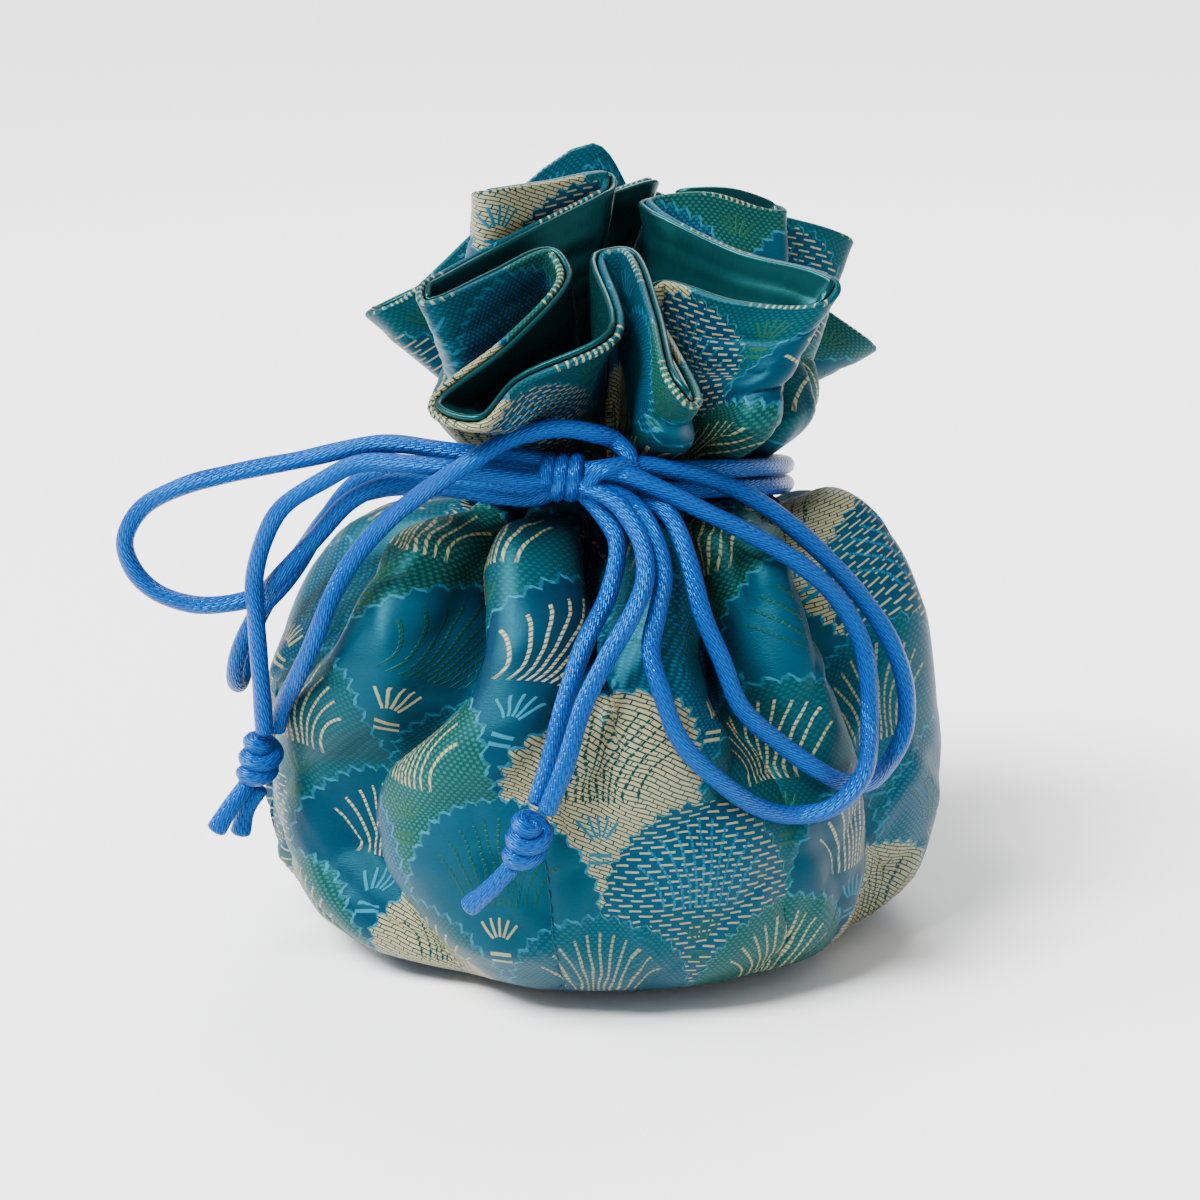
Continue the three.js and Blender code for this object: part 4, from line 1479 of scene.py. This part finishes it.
@dataclass
class ClothGrid:
    """A dense sheet of points on the pouch's face, with its normals and its lengths."""

    shape: PouchShape
    levels: np.ndarray
    around: int

    def __post_init__(self) -> None:
        """Works out the points and normals."""
        self.shares = np.arange(self.around) / self.around
        self.points = np.stack([self.shape.ring(float(at), self.shares) for at in self.levels])
        self.normals = self.find_normals()

    def find_normals(self) -> np.ndarray:
        """Outward normals of the sheet."""
        along = np.roll(self.points, -1, axis=1) - np.roll(self.points, 1, axis=1)
        return unit(np.cross(along, np.gradient(self.points, axis=0)))

    def push(self, heights: np.ndarray) -> None:
        """Moves the sheet along its normals by heights in millimetres."""
        self.points = self.points + self.normals * heights[..., None]
        self.normals = self.find_normals()

    def lengths(self) -> tuple[np.ndarray, np.ndarray]:
        """How far each point lies along the cloth.

        Returns:
            The share of the way round at each point, and the mean length up to each level.
        """
        steps = np.linalg.norm(np.roll(self.points, -1, axis=1) - self.points, axis=2)
        travel = np.concatenate([np.zeros((len(self.levels), 1)), np.cumsum(steps, axis=1)], axis=1)
        rises = np.linalg.norm(np.diff(self.points, axis=0), axis=2).mean(axis=1)
        return travel / travel[:, -1:], np.concatenate([[0.0], np.cumsum(rises)])

    def turns(self) -> np.ndarray:
        """How far each point lies round the upright axis.

        Returns:
            The share of a full turn at each point, without jumps.
        """
        angle = np.arctan2(self.points[..., 0], -self.points[..., 1])
        angle = np.unwrap(np.concatenate([angle, angle[:, :1]], axis=1), axis=1)
        start = np.round((angle[:, :1] - angle[:1, :1]) / (2 * math.pi)) * 2 * math.pi
        return (angle - start) / (2 * math.pi)

    def ripples(self, waves: tuple[int, ...], seed: int) -> np.ndarray:
        """Smooth random ripples that run up the cloth, about 1 high.

        Args:
            waves: How many ripples go round, for each set that is laid over the others.
            seed: Fixes their places.

        Returns:
            The height at each point.
        """
        rng = np.random.default_rng(seed)
        heights = np.zeros(self.points.shape[:2])
        for wave in waves:
            phase, drift, bend = rng.uniform(0, 2 * math.pi), rng.uniform(-2, 2), rng.uniform(2, 6)
            phases = phase + drift * self.levels[:, None] + np.sin(bend * self.levels[:, None] + phase)
            heights += np.sin(2 * math.pi * wave * self.shares[None, :] + phases) * rng.uniform(0.6, 1.0)
        return heights / len(waves)

    def crumples(self, count: int, seed: int) -> np.ndarray:
        """Short creases at all slants, in patches, each up to about 1 high or deep.

        Args:
            count: How many runs of creases cross the cloth.
            seed: Fixes their places.

        Returns:
            The height at each point.
        """
        rng = np.random.default_rng(seed)
        levels, shares = self.levels[:, None], self.shares[None, :]
        heights = np.zeros(self.points.shape[:2])
        for index in range(count):
            around, slant = rng.integers(7, 26), rng.uniform(-48, 48)
            start = rng.uniform(0, 2 * math.pi)
            bend = 1.6 * np.sin(2 * math.pi * rng.integers(2, 7) * shares + rng.uniform(3, 9) * levels + start)
            patch = np.sin(2 * math.pi * rng.integers(2, 6) * shares + rng.uniform(-16, 16) * levels - start)
            ridge = (1 - np.abs(np.sin(math.pi * around * shares + slant * levels / 2 + bend / 2))) ** 2.5
            heights += (1 if index % 2 else -1) * ridge * smooth(patch * 0.7 + 0.4)
        return heights


@dataclass
class FrontSeam:
    """The seam down the front of the pouch, with dark stitches that show as a fine broken line.

    The stitches are repeated by Geometry Nodes along the bottom of the seam,
    where the cloth is drawn in. Their three sizes are half of their length,
    width and height. Lengths are in millimetres.
    """

    shape: PouchShape
    material: bpy.types.Material
    girth: float = 330.0
    draw: float = 0.5
    pitch: float = 2.3
    stitch: tuple[float, float, float] = (0.82, 0.17, 0.14)
    levels: tuple[float, float] = (0.25, 0.565)

    def share(self, levels: np.ndarray) -> np.ndarray:
        """Where round the pouch the seam runs at each level: straight down, then a little to the left."""
        return 0.049 - 0.35 * np.maximum(0.46 - levels, 0.0) ** 1.6

    def drawn_in(self, grid: "ClothGrid") -> np.ndarray:
        """How deep the seam draws the cloth in.

        Args:
            grid: The cloth.

        Returns:
            The depth at each point in millimetres.
        """
        levels = grid.levels[:, None]
        crease = np.exp(-(((grid.shares[None, :] - self.share(levels)) * self.girth) ** 2))
        within = smooth((levels - 0.22) / 0.05) * (1 - smooth((levels - 0.56) / 0.04))
        return self.draw * crease * within

    def node_group(self) -> bpy.types.NodeTree:
        """The nodes that lay one stitch after another along a line.

        Returns:
            The node tree.
        """
        tree = bpy.data.node_groups.new("seam_stitches", "GeometryNodeTree")
        tree.interface.new_socket("Line", in_out="INPUT", socket_type="NodeSocketGeometry")
        tree.interface.new_socket("Pitch", in_out="INPUT", socket_type="NodeSocketFloat")
        tree.interface.new_socket("Half size", in_out="INPUT", socket_type="NodeSocketVector")
        tree.interface.new_socket("Stitches", in_out="OUTPUT", socket_type="NodeSocketGeometry")
        source = add_node(tree, "NodeGroupInput")
        line = add_node(tree, "GeometryNodeResampleCurve", {"Curve": source.outputs[0]}, mode="LENGTH")
        tree.links.new(source.outputs[1], line.inputs["Length"])
        thread = add_node(tree, "GeometryNodeMeshIcoSphere", {"Radius": 1.0, "Subdivisions": 2})
        course = add_node(tree, "GeometryNodeInputTangent")
        turn = add_node(tree, "FunctionNodeAlignRotationToVector", {"Vector": course.outputs[0]}, axis="X")
        values = {
            "Points": line.outputs[0], "Instance": thread.outputs[0],
            "Rotation": turn.outputs[0], "Scale": source.outputs[2],
        }
        laid = add_node(tree, "GeometryNodeInstanceOnPoints", values)
        real = add_node(tree, "GeometryNodeRealizeInstances", {0: laid.outputs[0]})
        smooth_faces = add_node(tree, "GeometryNodeSetShadeSmooth", {0: real.outputs[0]})
        dyed = add_node(tree, "GeometryNodeSetMaterial", {0: smooth_faces.outputs[0], "Material": self.material})
        add_node(tree, "NodeGroupOutput", {0: dyed.outputs[0]})
        return tree

    def sew(self, grid: "ClothGrid") -> bpy.types.Object:
        """Lays the stitches on the cloth's face, as one plain mesh.

        Args:
            grid: The cloth, after its relief is pushed out.

        Returns:
            The stitches.
        """
        places = []
        for at in np.linspace(*self.levels, 60):
            row = np.interp(at, grid.levels, np.arange(len(grid.levels)))
            low, part = int(row), row - int(row)
            spot = float(self.share(np.array([at]))[0]) * grid.around
            left, beside = int(spot), spot - int(spot)
            outer = grid.points + grid.normals * (self.shape.brocade + 0.08)
            lower = mix(outer[low, left], outer[low, left + 1], beside)
            upper = mix(outer[low + 1, left], outer[low + 1, left + 1], beside)
            places.append(mix(lower, upper, part) * MM)
        line = bpy.data.curves.new("seam_line", "CURVE")
        line.dimensions = "3D"
        spline = line.splines.new("POLY")
        spline.points.add(len(places) - 1)
        for point, place in zip(spline.points, places):
            point.co = (*place, 1.0)
        carrier = bpy.data.objects.new("seam_line", line)
        bpy.context.scene.collection.objects.link(carrier)
        modifier = carrier.modifiers.new("stitches", "NODES")
        modifier.node_group = self.node_group()
        sockets = {item.name: item.identifier for item in modifier.node_group.interface.items_tree}
        modifier[sockets["Pitch"]] = self.pitch * MM
        modifier[sockets["Half size"]] = [size * MM for size in self.stitch]
        graph = bpy.context.evaluated_depsgraph_get()
        mesh = bpy.data.meshes.new_from_object(carrier.evaluated_get(graph), depsgraph=graph)
        bpy.data.objects.remove(carrier)
        stitches = bpy.data.objects.new("seam_stitches", mesh)
        bpy.context.scene.collection.objects.link(stitches)
        return dress(stitches, self.material, "cord")


@dataclass
class BrocadeBody:
    """The stuffed wall and base of brocade, from the middle of the base to the cord at the neck.

    The heights of its relief are in millimetres: gathers below the neck, wide
    dents, long creases that run down from the gathers, and short crumples.
    """

    shape: PouchShape
    seam: FrontSeam
    around: int = 528
    columns: int = 11
    pitch: float = 32.5
    top: float = 1.058
    gather: float = 1.1
    dent: float = 1.3
    crease: float = 1.0
    crumple: float = 0.62

    def relief(self, grid: ClothGrid) -> np.ndarray:
        """The cloth's fine relief.

        Args:
            grid: The smooth cloth.

        Returns:
            The height at each point in millimetres.
        """
        levels = grid.levels[:, None]
        gathers = grid.ripples((55, 62, 71, 83, 97), 4) * self.gather * smooth((levels - 0.66) / 0.24)
        dents = grid.ripples((3, 5, 8, 13, 17), 9) * self.dent * smooth((levels - 0.2) / 0.15)
        creases = grid.ripples((19, 26, 34), 14) * self.crease * smooth((levels - 0.42) / 0.3)
        crumples = grid.crumples(10, 31) * self.crumple * smooth((levels - 0.2) / 0.12)
        return (gathers + dents + creases + crumples) * (1 - smooth((levels - 0.9) / 0.08))

    def build(self) -> bpy.types.Object:
        """Makes the cloth.

        Returns:
            The cloth, with its seam sewn.
        """
        low = np.linspace(0.0, 0.16, 10, endpoint=False)
        wall = np.linspace(0.16, 0.8, 56, endpoint=False)
        neck = np.linspace(0.8, self.top, 26)
        grid = ClothGrid(self.shape, np.concatenate([low, wall, neck]), self.around)
        grid.push(self.relief(grid) - self.seam.drawn_in(grid))
        self.seam.sew(grid)
        levels = grid.levels[:, None]
        share, rise = grid.lengths()
        turn = grid.turns()
        share = share + (turn - share).mean(axis=1, keepdims=True)
        across = mix(turn, share, smooth((levels - 0.45) / 0.3)) * self.columns * self.pitch
        rise = np.repeat(rise[:, None], self.around + 1, axis=1)
        flat = np.concatenate([grid.points, grid.points[:, :1]], axis=1)
        under = levels < 0.1
        across, rise = np.where(under, flat[..., 0], across), np.where(under, flat[..., 1], rise)
        outer = grid.points + grid.normals * self.shape.brocade
        outer[..., 2] = np.maximum(outer[..., 2], 0.0)
        rows = np.concatenate([outer, grid.points[::-1]])
        across, rise = np.concatenate([across, across[::-1]]), np.concatenate([rise, rise[::-1]])
        return loft("brocade_body", rows, across, rise, caps=True)


@dataclass
class Ruffle:
    """A pleated layer of the ruffle, with its free edge rolled over.

    Its two faces lie so far out from the face between brocade and lining, in
    millimetres. The heights of its relief are too: gathers at the neck, soft
    waves, the bunched casing on the right, and short crumples.
    """

    shape: PouchShape
    name: str
    outer: float
    inner: float
    start: float
    columns: int = 24
    pitch: float = 32.5
    around: int = 616
    gather: float = 0.5
    wave: float = 0.55
    bunch: float = 1.5
    crumple: float = 0.35

    def relief(self, grid: ClothGrid) -> np.ndarray:
        """The layer's fine relief.

        Args:
            grid: The smooth layer.

        Returns:
            The height at each point in millimetres.
        """
        at = grid.levels[:, None]
        side = np.arctan2(grid.points[..., 0], -grid.points[..., 1])
        to_right = np.exp(-(((side - 1.25) / 0.75) ** 2))
        near_neck = smooth((at - 1.1) / 0.05) * (1 - smooth((at - 1.25) / 0.3))
        casing = smooth((at - 1.09) / 0.06) * (1 - smooth((at - 1.24) / 0.22))
        gathers = grid.ripples((66, 77, 88, 101), 4) * self.gather * near_neck
        waves = grid.ripples((12, 19, 27, 33), 21) * self.wave * smooth((at - 1.15) / 0.2)
        bunches = grid.ripples((37, 49, 58), 5) * self.bunch * casing * to_right
        crumples = grid.crumples(6, 17) * self.crumple * smooth((at - 1.2) / 0.15) * (1 - smooth((at - 1.85) / 0.12))
        return gathers + waves + bunches + crumples

    def build(self) -> bpy.types.Object:
        """Makes the layer.

        Returns:
            The layer.
        """
        levels = np.concatenate([np.linspace(self.start, 1.3, 14, endpoint=False), np.linspace(1.3, 2.0, 30)])
        grid = ClothGrid(self.shape, levels, self.around)
        grid.push(self.relief(grid))
        share, _ = grid.lengths()
        across = np.repeat(share[-1:] * self.columns * self.pitch, len(levels), axis=0)
        steps = np.linalg.norm(np.diff(grid.points, axis=0), axis=2)
        fall = np.concatenate([np.cumsum(steps[::-1], axis=0)[::-1], np.zeros((1, self.around))])
        rise = -np.concatenate([fall, fall[:, :1]], axis=1)
        middle, half = (self.outer + self.inner) / 2, (self.outer - self.inner) / 2
        up = unit(grid.points[-1] - grid.points[-2])
        bulge = half * 1.15
        roll = []
        for angle in np.linspace(0, math.pi, 8)[1:-1]:
            outwards = grid.normals[-1] * (middle + bulge * math.cos(angle))
            roll.append(grid.points[-1] + outwards + up * bulge * 1.1 * math.sin(angle))
        front, back = grid.points + grid.normals * self.outer, grid.points + grid.normals * self.inner
        rows = np.concatenate([front, np.array(roll), back[::-1]])
        edge = np.repeat(across[-1:], len(roll), axis=0)
        edge_rise = np.repeat(rise[-1:], len(roll), axis=0) + np.linspace(0.3, 2.4, len(roll))[:, None]
        across = np.concatenate([across, edge, across[::-1]])
        rise = np.concatenate([rise, edge_rise, rise[::-1]])
        return loft(self.name, rows, across, rise, closed_rows=True)


def main() -> None:
    """Builds the reticule and its studio."""
    logging.basicConfig(level=logging.INFO, format="%(message)s")
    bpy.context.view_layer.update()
    studio = Studio()
    studio.place_camera()
    shape = PouchShape()
    SatinCord(shape).build()
    brocade = FanBrocade().build()
    satin = LiningSatin().build()
    seam = FrontSeam(shape, SewingThread().build())
    panels = ("base_panel", "panel_right_front", "panel_right_back", "panel_left_back", "panel_left_front")
    body = dress(BrocadeBody(shape, seam).build(), brocade, "brocade", *panels)
    frill = Ruffle(shape, "brocade_frill", outer=shape.brocade, inner=0.0, start=1.064)
    ruffle = dress(frill.build(), brocade, "brocade", "brocade_ruffle")
    facing = Ruffle(shape, "satin_facing", outer=-0.3, inner=-1.3, start=1.2)
    lining = dress(facing.build(), satin, "lining", "satin_lining")
    studio.build()


if __name__ == "__main__":
    main()
